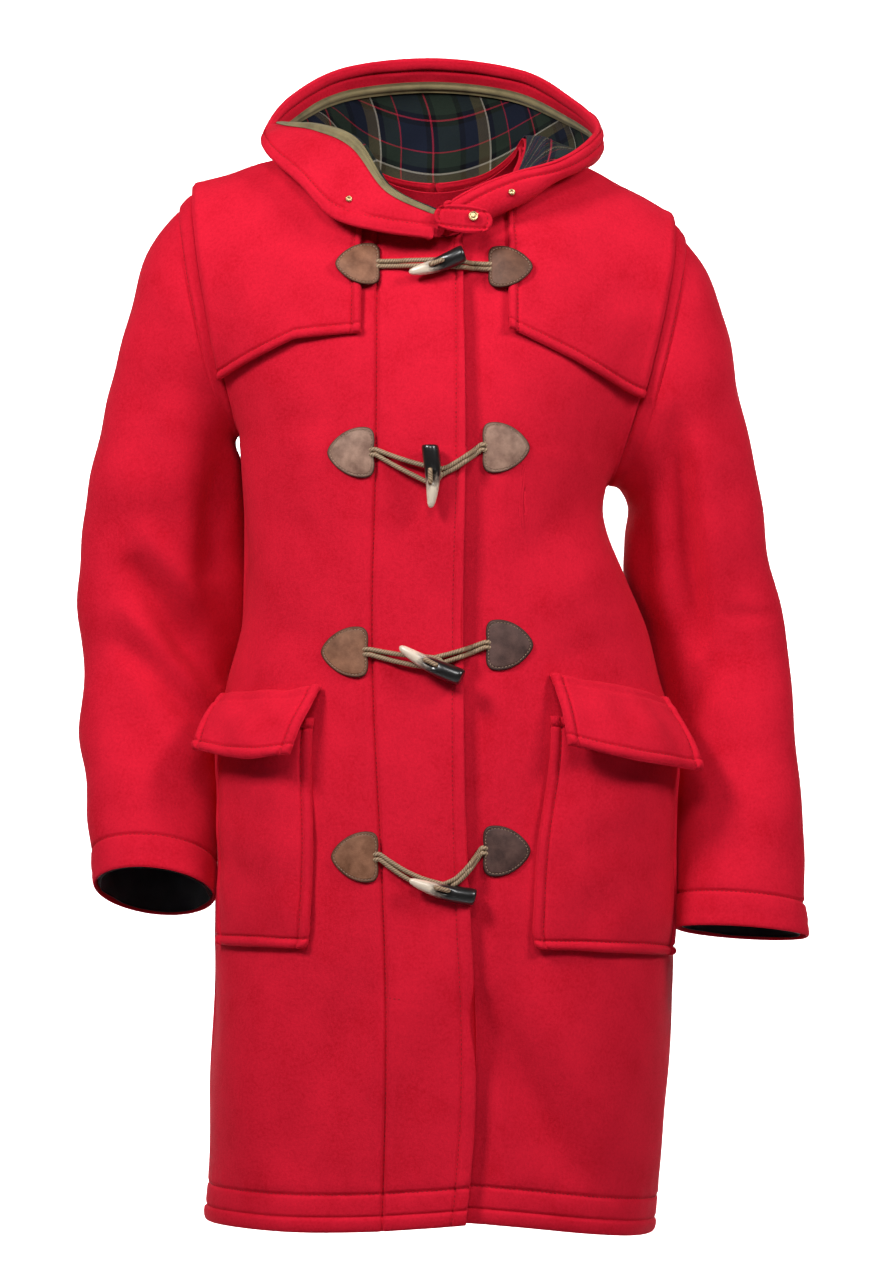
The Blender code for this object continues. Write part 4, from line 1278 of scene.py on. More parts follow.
@dataclass
class Body(SewnPart):
    """The two fronts and the back."""

    step_across: float = 0.0040
    step_down: float = 0.0045
    hem_depth: float = 0.033
    hem_swell: float = 0.0010
    hem_groove: float = 0.0018
    placket_groove: float = 0.0030
    front_stitch: float = 0.0135
    edge_lift: float = 0.0065
    tack_z: float = -0.738
    tack_from: float = -0.0440
    tack_to: float = -0.0285
    placket_line: tuple = table(
        "z x",
        (-0.950, -0.0462), (-0.750, -0.0425), (-0.650, -0.0455), (-0.420, -0.0550), (-0.250, -0.0515),
        (-0.050, -0.0510),
    )
    creases: tuple = (
        Crease((-0.060, -0.715), (-0.098, -0.800), (-0.130, -0.900), -0.0080, 0.022),
        Crease((-0.010, -0.700), (-0.045, -0.790), (-0.060, -0.900), 0.0050, 0.024),
        Crease((0.038, -0.730), (0.075, -0.815), (0.128, -0.915), -0.0110, 0.019),
        Crease((0.085, -0.720), (0.125, -0.800), (0.170, -0.900), 0.0070, 0.022),
        Crease((-0.150, -0.720), (-0.168, -0.800), (-0.165, -0.910), 0.0050, 0.020),
        Crease((-0.150, -0.235), (-0.120, -0.225), (-0.085, -0.235), -0.0020, 0.014),
        Crease((-0.165, -0.300), (-0.130, -0.330), (-0.095, -0.330), -0.0018, 0.016),
        Crease((-0.160, -0.400), (-0.125, -0.425), (-0.085, -0.425), -0.0020, 0.018),
        Crease((0.140, -0.290), (0.110, -0.330), (0.070, -0.350), -0.0022, 0.016),
        Crease((0.155, -0.350), (0.120, -0.385), (0.080, -0.395), 0.0018, 0.016),
        Crease((0.165, -0.420), (0.130, -0.435), (0.095, -0.440), -0.0020, 0.014),
    )
    back_creases: tuple = (
        Crease((-0.150, -0.260), (-0.100, -0.300), (-0.040, -0.310), -0.0030, 0.018),
        Crease((0.140, -0.300), (0.095, -0.345), (0.030, -0.350), -0.0032, 0.018),
        Crease((-0.020, -0.380), (-0.030, -0.420), (-0.100, -0.440), -0.0026, 0.016),
        Crease((0.060, -0.620), (0.075, -0.760), (0.060, -0.900), -0.0050, 0.024),
        Crease((-0.070, -0.600), (-0.085, -0.740), (-0.075, -0.900), -0.0045, 0.024),
        Crease((0.000, -0.650), (0.005, -0.780), (-0.005, -0.920), 0.0035, 0.026),
        Crease((0.130, -0.640), (0.140, -0.780), (0.135, -0.900), 0.0035, 0.022),
    )

    def placket_relief(self, points: Grid) -> Grid:
        """Stitched line of the front facing, from the collar to the hem, with a hollow beside it.

        Args:
            points: grid of the right front.

        Returns:
            A height for each point.
        """
        line = smooth_table(self.placket_line, "z", "x", points[..., 2])
        gap = points[..., 0] - line
        groove = -self.placket_groove * bell(gap, 0.0017)
        soft = 0.0010 * bell(gap + 0.0060, 0.0050) + 0.0008 * bell(gap - 0.0060, 0.0050)
        return groove + soft

    def hem_relief(self, reach: Grid, points: Grid) -> Grid:
        """Turned hem: a fuller band, then a stitched groove with faint puckers above.

        Args:
            reach: distance from the hem.
            points: grid of the panel.

        Returns:
            A height for each point.
        """
        band = self.hem_swell * arch(reach / self.hem_depth, 0.6)
        groove = -self.hem_groove * bell(reach - self.hem_depth, 0.0020)
        pucker = 0.0005 * noise_field(points, 0.020, 5) * bell(reach - self.hem_depth, 0.012)
        return band + groove + pucker

    def front(self, side: Side) -> ClothShell:
        """Wall of one front.

        Args:
            side: side of the wearer.

        Returns:
            The wall.
        """
        a, b = share_grid(120, 300)
        plain = -0.10 + (0.9999 + 0.10) * a
        down = neckline(plain, Face.FRONT)
        down = down + (2.0 - down) * b
        heights = torso(side, Face.FRONT, np.zeros_like(down[:, 0]), down[:, 0])[:, 2]
        edge_x = smooth_table(FRONT_EDGE, "z", "x", heights)
        goal = -edge_x if side is Side.RIGHT else np.full_like(heights, UNDERLAP_EDGE_X)

        def beyond(value: Grid) -> Grid:
            """How far a try at the edge lies past its goal."""
            return side.value * torso(side, Face.FRONT, value, down[:, 0])[:, 0] - goal

        edge = bisect(beyond, np.full_like(goal, -0.4), np.full_like(goal, 0.4))
        share = np.clip(1 - a / 0.14, 0.0, 1.0)
        across = plain * (1 - share) + edge[:, None] * share
        points = torso(side, Face.FRONT, across, down)
        if side is Side.LEFT:
            points[..., 1] += UNDERLAP_DEPTH * ease((0.062 - points[..., 0]) / 0.026)
        else:
            points[..., 1] -= self.edge_lift * ease((points[..., 0] + 0.030) / 0.050)
        marks = [self.front_stitch]
        if side is Side.RIGHT:
            marks.append(self.placket_reach(points))
        points = respaced(points, tuple(marks) + (-0.012,), self.step_across)
        points = respaced_down(points, (-self.hem_depth, -self.front_stitch), self.step_down)
        shell = ClothShell(
            f"front_{side.word}", points, np.array([0.0, -1.0, 0.0]),
            left=Edge.TURNED, bottom=Edge.TURNED, stitch=self.front_stitch,
        )
        distances = shell.border_distances()
        relief = sum(crease.height(points) for crease in self.creases)
        relief = relief + self.hem_relief(distances["bottom"], points) + 0.0011 * noise_field(points, 0.11, 3)
        if side is Side.RIGHT:
            relief = relief + self.placket_relief(points)
        shell.relief = relief * ease(distances["right"] / 0.02 + 0.25)
        return shell

    def placket_reach(self, points: Grid) -> Grid:
        """Distance of the front facing's stitched line from the front edge.

        Args:
            points: (R, C, 3) grid of the right front.

        Returns:
            A distance for each row.
        """
        near = points[:, :70]
        goals = smooth_table(self.placket_line, "z", "x", points[:, 20, 2])
        lanes = zip(goals, near[..., 0], reach_along(near, axis=1))
        return np.array([np.interp(-goal, -x, reach) for goal, x, reach in lanes])

    def back(self) -> ClothShell:
        """Wall of the back."""
        a, b = np.meshgrid(np.linspace(-0.9999, 0.9999, 180), np.linspace(0.0, 1.0, 240))
        down = neckline(np.abs(a), Face.BACK)
        down = down + (2.0 - down) * b
        right = torso(Side.RIGHT, Face.BACK, np.abs(a), down)
        left = torso(Side.LEFT, Face.BACK, np.abs(a), down)
        points = np.where((a < 0)[..., None], right, left)
        points = respaced(points, (0.012, -0.012), self.step_across * 1.6)
        points = respaced_down(points, (-self.hem_depth, -self.front_stitch), self.step_down * 1.3)
        shell = ClothShell(
            "back", points, np.array([0.0, 1.0, 0.0]), bottom=Edge.TURNED, stitch=self.front_stitch,
        )
        distances = shell.border_distances()
        relief = sum(crease.height(points) for crease in self.back_creases)
        relief = relief + self.hem_relief(distances["bottom"], points) + 0.0012 * noise_field(points, 0.13, 8)
        sides = np.minimum(distances["left"], distances["right"])
        shell.relief = relief * ease(sides / 0.02 + 0.25)
        return shell

    def build(self) -> None:
        """Make, dress and stitch the three panels."""
        fronts = {side: self.front(side) for side in Side}
        for shell in fronts.values():
            self.put_on(shell)
            self.sew_beside(shell, ("bottom",), self.hem_depth, 0.02)
        right = fronts[Side.RIGHT]
        self.sew_beside(right, ("left",), self.front_stitch, 0.04, 0.985)
        self.stitching.sew(*self.placket_stitch(right))
        self.stitching.sew(*self.bar_tack(right))
        back = self.back()
        self.put_on(back)
        self.sew_beside(back, ("bottom",), self.hem_depth)

    def bar_tack(self, shell: ClothShell) -> Lines:
        """Short level row of stitches low beside the line of the front facing.

        Args:
            shell: the right front.

        Returns:
            Points and normals of the row.
        """
        row = int(np.argmin(np.abs(shell.outer[:, 40, 2] - self.tack_z)))
        x = shell.outer[row, :, 0]
        chosen = (x > self.tack_from) & (x < self.tack_to)
        return shell.outer[row, chosen], shell.normals[row, chosen]

    def placket_stitch(self, shell: ClothShell) -> Lines:
        """Line of the front facing's stitching, on the outer side.

        Args:
            shell: the right front.

        Returns:
            Points and normals of the line.
        """
        spots, normals = [], []
        for row in range(int(0.10 * len(shell.outer)), len(shell.outer) - 12):
            outer = shell.outer[row]
            goal = float(smooth_table(self.placket_line, "z", "x", np.array(outer[40, 2])))
            order = np.argsort(outer[:, 0])
            spots.append(sample(outer[order], outer[order, 0], goal))
            normals.append(sample(shell.normals[row, order], outer[order, 0], goal))
        return np.array(spots), np.array(normals)


@dataclass
class StormFlaps(SewnPart):
    """The flap over each shoulder, sewn into the shoulder seam and armhole."""

    inner_x: float = 0.0640
    middle_x: float = 0.1250
    lift: float = 0.0050
    wall: float = 0.0042
    stitch: float = 0.0085
    step: float = 0.0032
    sizes: dict = field(default_factory=lambda: {
        Side.RIGHT: dict(corner_z=-0.1540, middle_z=-0.1590, point_z=-0.1860),
        Side.LEFT: dict(corner_z=-0.1500, middle_z=-0.1760, point_z=-0.2010),
    })

    def shell(self, side: Side) -> ClothShell:
        """Wall of one flap.

        Args:
            side: side of the wearer.

        Returns:
            The wall.
        """
        sizes = self.sizes[side]
        a, b = share_grid(70, 80)

        def inner_across(down: Grid) -> Grid:
            """Place across of the flap's straight inner edge."""
            low = np.zeros_like(down)
            return bisect(
                lambda value: side.value * torso(side, Face.FRONT, value, down)[..., 0] - self.inner_x,
                low, low + 0.9,
            )

        across = inner_across(np.full_like(a, 0.4))
        across = across + (0.994 - across) * a
        x = np.abs(torso(side, Face.FRONT, across, np.full_like(a, 0.6))[..., 0])
        point_x, _, _ = armhole(side, Face.FRONT, np.array(math.pi * 0.72))
        near = sizes["corner_z"] + (sizes["middle_z"] - sizes["corner_z"]) * (
            (x - self.inner_x) / (self.middle_x - self.inner_x))
        far = sizes["middle_z"] + (sizes["point_z"] - sizes["middle_z"]) * (
            (x - self.middle_x) / (float(point_x) - self.middle_x))
        lowest = np.where(x < self.middle_x, near, far)
        end = bisect(lambda value: lowest - torso(side, Face.FRONT, across, value)[..., 2],
                     np.full_like(a, 0.05), np.ones_like(a))
        start = neckline(across, Face.FRONT) + 0.003
        down = start + (end - start) * b
        inner = inner_across(down)
        points = torso(side, Face.FRONT, inner + (0.994 - inner) * a, down)
        normals = grid_normals(points, False, np.array([0.0, -1.0, 0.3]))
        free = ease(b * 1.4 - 0.3) * 0.0012
        points = points + normals * (self.lift + free)[..., None]
        points = respaced(points, (self.stitch,), self.step)
        points = respaced_down(points, (-self.stitch,), self.step)
        return ClothShell(
            f"storm_flap_{side.word}", points, np.array([0.0, -1.0, 0.3]), wall=self.wall,
            left=Edge.TURNED, bottom=Edge.TURNED, stitch=self.stitch, puff=0.0016,
            relief=0.0008 * noise_field(points, 0.06, 11),
        )

    def build(self) -> None:
        """Make, dress and stitch both flaps."""
        for side in Side:
            shell = self.shell(side)
            self.put_on(shell, held="laid", rests_on=(f"front_{side.word}",))
            self.sew_beside(shell, ("left",), shell.stitch, 0.05, 0.95)
            self.sew_beside(shell, ("bottom",), shell.stitch, 0.1, 0.98)


@dataclass
class Sleeves(SewnPart):
    """One-piece sleeves with a lapped armhole seam and a stitched turn-up at the cuff."""

    cuff_depth: float = 0.031
    cuff_swell: float = 0.0012
    cuff_groove: float = 0.0018
    lap_depth: float = 0.019
    around: int = 112
    creases: dict = field(default_factory=lambda: {
        Side.RIGHT: (
            Crease((-0.276, -0.348), (-0.245, -0.395), (-0.192, -0.468), -0.0130, 0.013),
            Crease((-0.265, -0.320), (-0.232, -0.362), (-0.186, -0.418), 0.0070, 0.013),
            Crease((-0.182, -0.230), (-0.198, -0.290), (-0.202, -0.370), -0.0085, 0.011),
            Crease((-0.222, -0.240), (-0.228, -0.310), (-0.222, -0.370), 0.0040, 0.014),
            Crease((-0.292, -0.420), (-0.252, -0.446), (-0.205, -0.505), -0.0075, 0.011),
            Crease((-0.290, -0.385), (-0.248, -0.420), (-0.198, -0.488), 0.0045, 0.010),
            Crease((-0.250, -0.130), (-0.262, -0.200), (-0.262, -0.270), -0.0045, 0.018),
        ),
        Side.LEFT: (
            Crease((0.212, -0.215), (0.222, -0.320), (0.236, -0.440), -0.0130, 0.012),
            Crease((0.236, -0.230), (0.248, -0.330), (0.258, -0.430), 0.0045, 0.014),
            Crease((0.196, -0.290), (0.206, -0.350), (0.214, -0.420), 0.0065, 0.010),
            Crease((0.255, -0.398), (0.280, -0.404), (0.305, -0.400), -0.0030, 0.007),
            Crease((0.248, -0.440), (0.232, -0.478), (0.210, -0.515), -0.0080, 0.012),
            Crease((0.262, -0.160), (0.270, -0.230), (0.276, -0.300), -0.0035, 0.018),
        ),
    })

    def surface(self, side: Side, turns: Grid, shares: Grid) -> Grid:
        """Points of a sleeve.

        Args:
            side: side of the wearer.
            turns: (C,) angles, 0 at the outer side and growing towards the front.
            shares: (R,) shares from the armhole to the cuff.

        Returns:
            (R, C, 3) points.
        """
        front = np.sin(turns) >= 0
        fx, fy, fz = armhole(side, Face.FRONT, turns)
        bx, by, bz = armhole(side, Face.BACK, 2 * math.pi - turns)
        x = np.where(front, fx, bx) - 0.0012
        stations = [np.stack([side.value * x, np.where(front, fy, by), np.where(front, fz, bz)], axis=-1)]
        rows = SLEEVE_RINGS[side]
        for index, row in enumerate(rows):
            outer = np.array([side.value * row["outer_x"], row["y"], row["outer_z"]])
            inner = np.array([side.value * row["inner_x"], row["y"] + INNER_DEPTHS[index], row["inner_z"]])
            middle = (outer + inner) / 2
            points = middle + (outer - middle) * np.cos(turns)[:, None]
            points[:, 1] -= row["half"] * np.sin(turns)
            lean = CUFF_TILT[side] * max(0.0, (index - (len(rows) - 4)) / 3)
            points[:, 2] += lean * (row["y"] - points[:, 1])
            stations.append(points)
        place = np.repeat(shares[:, None], len(turns), axis=1)
        return through(np.array(stations), place)

    def shell(self, side: Side) -> ClothShell:
        """Wall of one sleeve.

        Args:
            side: side of the wearer.

        Returns:
            The wall.
        """
        turns = 2 * math.pi * np.arange(self.around) / self.around
        points = self.surface(side, turns, np.linspace(0.0, 1.0, 260))
        points = respaced_down(points, (self.lap_depth, -self.cuff_depth), 0.0042)
        core = points.mean(axis=1, keepdims=True)
        shell = ClothShell(
            f"sleeve_{side.word}", points, points - core, top=Edge.SEAM, bottom=Edge.TURNED, wrap=True,
            stitch=0.010, puff=0.0002,
        )
        distances = shell.border_distances()
        reach = distances["bottom"]
        band = self.cuff_swell * arch(reach / self.cuff_depth, 0.6)
        groove = -self.cuff_groove * bell(reach - self.cuff_depth, 0.0018)
        upper = ease((np.cos(turns) + 0.75) / 0.8)[None, :]
        gap = distances["top"] - self.lap_depth
        lap = upper * (0.0018 * ease(0.5 - gap / 0.0030) * ease(distances["top"] / 0.006)
                       + 0.0010 * bell(gap + 0.0060, 0.0045)
                       - 0.0016 * bell(gap - 0.0008, 0.0018))
        relief = sum(crease.height(points) for crease in self.creases[side])
        relief = relief + 0.0018 * noise_field(points, 0.085, 21 + side.value) * ease(distances["top"] / 0.05)
        relief = relief * ease(reach / 0.05) * ease(distances["top"] / 0.03)
        shell.relief = relief + band + groove + lap
        return shell

    def cuff_lining(self, side: Side) -> ClothShell:
        """Dark lining tube that shows inside the cuff.

        Args:
            side: side of the wearer.

        Returns:
            The wall.
        """
        turns = 2 * math.pi * np.arange(64) / 64
        points = self.surface(side, turns, np.linspace(0.82, 0.9955, 24))
        core = points.mean(axis=1, keepdims=True)
        normals = grid_normals(points, True, points - core)
        points = points - normals * 0.0046
        relief = 0.0010 * noise_field(points, 0.03, 31)
        return ClothShell(f"cuff_lining_{side.word}", points, points - core, wall=LINING_WALL,
                          wrap=True, relief=relief)

    def build(self) -> None:
        """Make, dress and stitch both sleeves and their linings."""
        quarter = self.around // 4
        over = np.r_[self.around - quarter:self.around, 0:quarter]
        for side in Side:
            shell = self.shell(side)
            self.put_on(shell)
            points, normals = shell.line_beside("bottom", self.cuff_depth)
            self.stitching.sew(np.concatenate([points, points[:1]]), np.concatenate([normals, normals[:1]]))
            points, normals = shell.line_beside("top", self.lap_depth)
            self.stitching.sew(points[over], normals[over])
            self.put_on(
                self.cuff_lining(side), self.wardrobe.sleeve_lining, "sleeve_lining", rests_on=(shell.name,),
            )


@dataclass
class Pockets(SewnPart):
    """Patch pockets that stand a little off the fronts, with their flaps."""

    bottom_z: float = -0.694
    corner: float = 0.11
    bag_wall: float = 0.0042
    flap_wall: float = 0.0046
    lay: float = 0.0042
    bulge: float = 0.0085
    stitch: float = 0.0095
    step: float = 0.0034
    bags: dict = field(default_factory=lambda: {
        Side.RIGHT: dict(inner_top=0.318, inner_bottom=0.322, outer=0.800, mouth_z=-0.492, drop=0.0),
        Side.LEFT: dict(inner_top=0.268, inner_bottom=0.205, outer=0.840, mouth_z=-0.490, drop=0.010),
    })
    flaps: dict = field(default_factory=lambda: {
        Side.RIGHT: dict(
            inner=0.305, outer=0.840, seam_z=-0.4640, seam_drop=0.008,
            low=((0.127, -0.162, -0.5230), (0.170, -0.141, -0.5265), (0.2145, -0.0900, -0.5200)),
        ),
        Side.LEFT: dict(
            inner=0.285, outer=0.840, seam_z=-0.4530, seam_drop=0.022,
            low=((0.116, -0.164, -0.5150), (0.180, -0.143, -0.5290), (0.2360, -0.0900, -0.5390)),
        ),
    })

    def bag(self, side: Side) -> ClothShell:
        """Wall of one patch pocket, with rounded lower corners.

        Args:
            side: side of the wearer.

        Returns:
            The wall.
        """
        sizes = self.bags[side]
        a, b = share_grid(80, 100)
        sink = np.clip((b - (1 - self.corner)) / self.corner, 0.0, 1.0)
        pull = 0.035 * (1 - np.sqrt(np.maximum(0.0, 1 - sink**2)))
        a_in = pull + (1 - 2 * pull) * a
        inner = sizes["inner_top"] + (sizes["inner_bottom"] - sizes["inner_top"]) * b
        wave = 0.004 * np.sin(b * 7.0 + 0.8) * (1 - a)
        across = inner + wave + (sizes["outer"] - inner) * a_in
        z = sizes["mouth_z"] + (self.bottom_z - sizes["mouth_z"]) * b - sizes["drop"] * a
        points = section(side, Face.FRONT, z, across)
        normals = grid_normals(points, False, np.array([0.5 * side.value, -1.0, 0.0]))
        swell = np.minimum(1.0, 6.0 * a * (1 - a)) * (1 - b**4)
        points = points + normals * (self.lay + self.bulge * swell)[..., None]
        points = respaced(points, (self.stitch, -self.stitch), self.step)
        points = respaced_down(points, (self.stitch, -self.stitch), self.step)
        relief = 0.0012 * noise_field(points, 0.07, 41 + side.value)
        return ClothShell(
            f"pocket_{side.word}", points, np.array([0.5 * side.value, -1.0, 0.0]), wall=self.bag_wall,
            **Edge.TURNED.all_round(), stitch=self.stitch,
            puff=0.0019, relief=relief,
        )

    def flap(self, side: Side) -> ClothShell:
        """Wall of one pocket flap.

        Args:
            side: side of the wearer.

        Returns:
            The wall.
        """
        sizes = self.flaps[side]
        a, b = share_grid(70, 50)
        across = sizes["inner"] + (sizes["outer"] - sizes["inner"]) * a
        z = sizes["seam_z"] - sizes["seam_drop"] * a
        seam = section(side, Face.FRONT, z, across)
        out = unit(seam * np.array([0.6, 1.0, 0.0]))
        low = np.array([[side.value * x, y, height] for x, y, height in sizes["low"]])
        free = through(low, a)
        points = (seam + out * self.lay) * (1 - b)[..., None] + free * b[..., None]
        ridge = 0.0025 * bell(b - 0.12, 0.07)
        points = points + out * (0.006 * np.sin(math.pi * b) + ridge)[..., None]
        points = respaced(points, (self.stitch, -self.stitch), self.step)
        points = respaced_down(points, (0.011, -self.stitch), self.step)
        roll = points[..., 2] - points[:1, :, 2]
        relief = 0.0010 * noise_field(points, 0.05, 51 + side.value)
        relief = relief - 0.0016 * bell(roll + 0.0075, 0.0022)
        return ClothShell(
            f"pocket_flap_{side.word}", points, np.array([0.5 * side.value, -1.0, 0.3]), wall=self.flap_wall,
            left=Edge.TURNED, right=Edge.TURNED, top=Edge.SEAM, bottom=Edge.TURNED, stitch=self.stitch,
            puff=0.0019, relief=relief,
        )

    def build(self) -> None:
        """Make, dress and stitch the pockets and flaps."""
        for side in Side:
            for shell in (self.bag(side), self.flap(side)):
                self.put_on(shell, rests_on=(f"front_{side.word}",))
                self.sew_beside(shell, ("left", "right", "bottom"), shell.stitch, 0.07, 0.93)


@dataclass
class Hood(SewnPart):
    """The hood, laid open round the neck: two shell halves, lining, facing and binding."""

    facing_share: float = 0.80
    back_share: float = 0.89
    front_share: float = 0.26
    back_from: float = 0.28
    back_over: float = 0.12
    front_from: float = 0.68
    front_over: float = 0.18
    rim_groove: float = 0.0095
    facing_stitch: float = 0.0135
    lift: float = 0.0029
    step: float = 0.0042

    def inward(self, points: Grid) -> Grid:
        """Unit normals that point to the lining side."""
        return unit(np.cross(np.gradient(points, axis=1), np.gradient(points, axis=0)))

    def grid(self, shares: Grid, rows: Grid) -> tuple[Grid, Grid]:
        """Points of the hood, and normals to its lining side.

        Args:
            shares: (C,) shares round the neck.
            rows: (R,) or (R, C) shares from the neck seam to the edge.

        Returns:
            Points and normals.
        """
        if rows.ndim == 1:
            rows = np.repeat(rows[:, None], len(shares), axis=1)
        a = np.repeat(shares[None, :], len(rows), axis=0)
        points = hood_surface(a.ravel(), rows.ravel()).reshape(*a.shape, 3)
        return points, self.inward(points)

    def join(self, shares: Grid) -> Grid:
        """Row where the facing meets the lining. The facing widens towards the wearer's left front.

        Args:
            shares: shares round the neck.

        Returns:
            A row for each share.
        """
        back = ease((shares - self.back_from) / self.back_over) * (self.back_share - self.facing_share)
        front = ease((shares - self.front_from) / self.front_over) * (self.front_share - self.back_share)
        return self.facing_share + back + front

    def shells(self) -> list[ClothShell]:
        """Outer halves of the hood."""
        made = []
        for side, start, end in ((Side.RIGHT, 0.0, 0.4994), (Side.LEFT, 0.5006, 1.0)):
            shares = np.linspace(start, end, 120)
            points, _ = self.grid(shares, np.linspace(0.0, 1.0, 90))
            points = respaced_down(points, (-0.0085,), self.step)
            inward = self.inward(points)
            relief = 0.0014 * noise_field(points, 0.07, 61)
            made.append(ClothShell(
                f"hood_{side.word}", points, -inward, left=Edge.TURNED if side is Side.RIGHT else Edge.SEAM,
                right=Edge.SEAM if side is Side.RIGHT else Edge.TURNED, bottom=Edge.TURNED, relief=relief,
            ))
        return made

    def facing(self) -> ClothShell:
        """Wide facing of the opening, turned round its edge."""
        shares = np.linspace(0.004, 0.996, 240)
        share = np.concatenate([np.linspace(0.0, 0.92, 28), np.linspace(0.94, 1.0, 6)])[:, None]
        low = self.join(shares)[None, :]
        points, inward = self.grid(shares, low + (1.0 - low) * share)
        points = respaced_down(points + inward * self.lift, (-self.rim_groove,), 0.0040)
        inward = self.inward(points)
        normal = inward[-1]
        way = unit(points[-1] - points[-2])
        radius = self.lift / 2
        angles = np.linspace(0.0, math.pi, 9)[1:]
        wrapped = np.array([
            points[-1] - normal * radius + radius * (way * math.sin(angle) + normal * math.cos(angle))
            for angle in angles
        ])
        fall = reach_along(points)
        gap = fall[-1:] - fall
        relief = 0.0010 * noise_field(points, 0.05, 71) * ease(gap / 0.02) * ease(fall / 0.02)
        relief = relief + 0.0012 * arch(gap / self.rim_groove, 0.8)
        relief = relief - 0.0014 * bell(gap - self.rim_groove, 0.0016)
        turned = np.zeros_like(wrapped)
        return ClothShell(
            "hood_facing", np.concatenate([points, wrapped]), np.concatenate([inward, turned]), wall=0.0030,
            left=Edge.TURNED, right=Edge.TURNED, top=Edge.HIDDEN, bottom=Edge.HIDDEN,
            relief=np.concatenate([relief, turned[..., 0]]),
        )

    def lining(self) -> ClothShell:
        """Check lining of the bag, with soft slack folds."""
        shares = np.linspace(0.006, 0.994, 230)
        high = (self.join(shares) - 0.004)[None, :]
        points, inward = self.grid(shares, 0.02 + (high - 0.02) * np.linspace(0.0, 1.0, 70)[:, None])
        slack = np.sin(math.pi * np.linspace(0, 1, 70))[:, None] ** 2
        folds = 0.0022 * noise_field(points, 0.045, 81) * slack
        points = points + inward * self.lift
        return ClothShell(
            "hood_lining", points, inward, wall=LINING_WALL, **Edge.HIDDEN.all_round(),
            relief=np.maximum(folds, -0.0006),
        )

    def binding(self) -> ClothShell:
        """Olive tape over the join of the facing and the lining."""
        shares = np.linspace(0.006, 0.994, 300)
        rows = self.join(shares)[None, :] + np.linspace(-0.036, 0.018, 12)[:, None]
        points, inward = self.grid(shares, rows)
        crown = np.sin(math.pi * np.linspace(0, 1, 12))[:, None]
        points = points + inward * (self.lift + 0.0026 + 0.0010 * crown)[..., None]
        return ClothShell(
            "hood_binding", points, inward, wall=LINING_WALL, top=Edge.TURNED, bottom=Edge.TURNED,
            left=Edge.HIDDEN, right=Edge.HIDDEN, stitch=0.0022, puff=0.0003,
        )

    def build(self) -> None:
        """Make, dress and stitch the hood's pieces."""
        halves = ("hood_right", "hood_left")
        for shell in self.shells():
            self.put_on(shell, held="draped", rests_on=("storm_flap_right", "storm_flap_left"))
            self.sew_beside(shell, ("bottom",), shell.stitch, 0.02, 0.98)
        facing = self.facing()
        self.put_on(facing, self.wardrobe.facing, held="draped", rests_on=halves)
        self.sew_beside(facing, ("bottom",), self.facing_stitch, 0.02, 0.98)
        self.put_on(self.lining(), self.wardrobe.check, "check_lining", "draped", halves)
        self.put_on(
            self.binding(), self.wardrobe.binding, "binding", "laid", ("hood_facing", "hood_lining"),
        )


@dataclass
class ThroatTab(SewnPart):
    """Rounded tab under the left front of the hood, with its press studs."""

    centre: tuple[float, float, float] = (0.0250, -0.1215, -0.0520)
    half_width: float = 0.0260
    half_height: float = 0.0125
    stud_radius: float = 0.0042
    hood_stud_share: float = 0.7
    stud_profile: tuple = (
        (1.0, -0.0006), (1.0, 0.0006), (0.93, 0.0011), (0.80, 0.0011), (0.70, 0.0007), (0.45, 0.0010),
        (0.22, 0.0013), (0.05, 0.0012),
    )

    def tab(self) -> ClothShell:
        """Wall of the tab, on a square grid pressed into a rounded outline."""
        u, v = np.meshgrid(np.linspace(-1, 1, 44), np.linspace(1, -1, 28))
        x = self.half_width * u * np.sqrt(1 - 0.42 * v * v)
        z = self.half_height * v * np.sqrt(1 - 0.42 * u * u)
        y = 0.10 * x
        points = np.stack([x, y, z - 0.088 * x], axis=-1) + np.array(self.centre)
        return ClothShell(
            "throat_tab", points, np.array([0.0, -1.0, 0.0]), wall=0.0030,
            **Edge.TURNED.all_round(), stitch=0.0045, puff=0.0007,
        )

    def stud(self, name: str) -> Piece:
        """Domed stud with a rolled rim and a dimple, where the frame's stud is.

        Args:
            name: the frame's stud.

        Returns:
            The stud.
        """
        low, high = (np.array(corner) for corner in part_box(name))
        on_tab = name == "stud_tab"
        normal = unit(np.array([0.0, -1.0, 0.12] if on_tab else [0.15, -0.9, 0.4]))
        side = unit(np.cross(normal, [0.0, 0.0, 1.0]))
        up = np.cross(side, normal)
        radius = self.stud_radius * (1.0 if on_tab else self.hood_stud_share)
        sides = 28
        vertices = []
        for share, height in self.stud_profile:
            for angle in 2 * math.pi * np.arange(sides) / sides:
                ring = side * math.cos(angle) + up * math.sin(angle)
                vertices.append((low + high) / 2 + ring * radius * share + normal * height)
        return add_mesh(f"{name}_cap", np.array(vertices), ring_faces(len(self.stud_profile), sides))

    def build(self) -> None:
        """Make and dress the tab and the studs."""
        shell = self.tab()
        self.put_on(shell)
        self.sew_beside(shell, ("left", "right", "top", "bottom"), shell.stitch, 0.15, 0.85)
        for name in ("stud_tab", "stud_hood_left", "stud_hood_right"):
            dress(self.stud(name), self.wardrobe.brass, "brass", name)


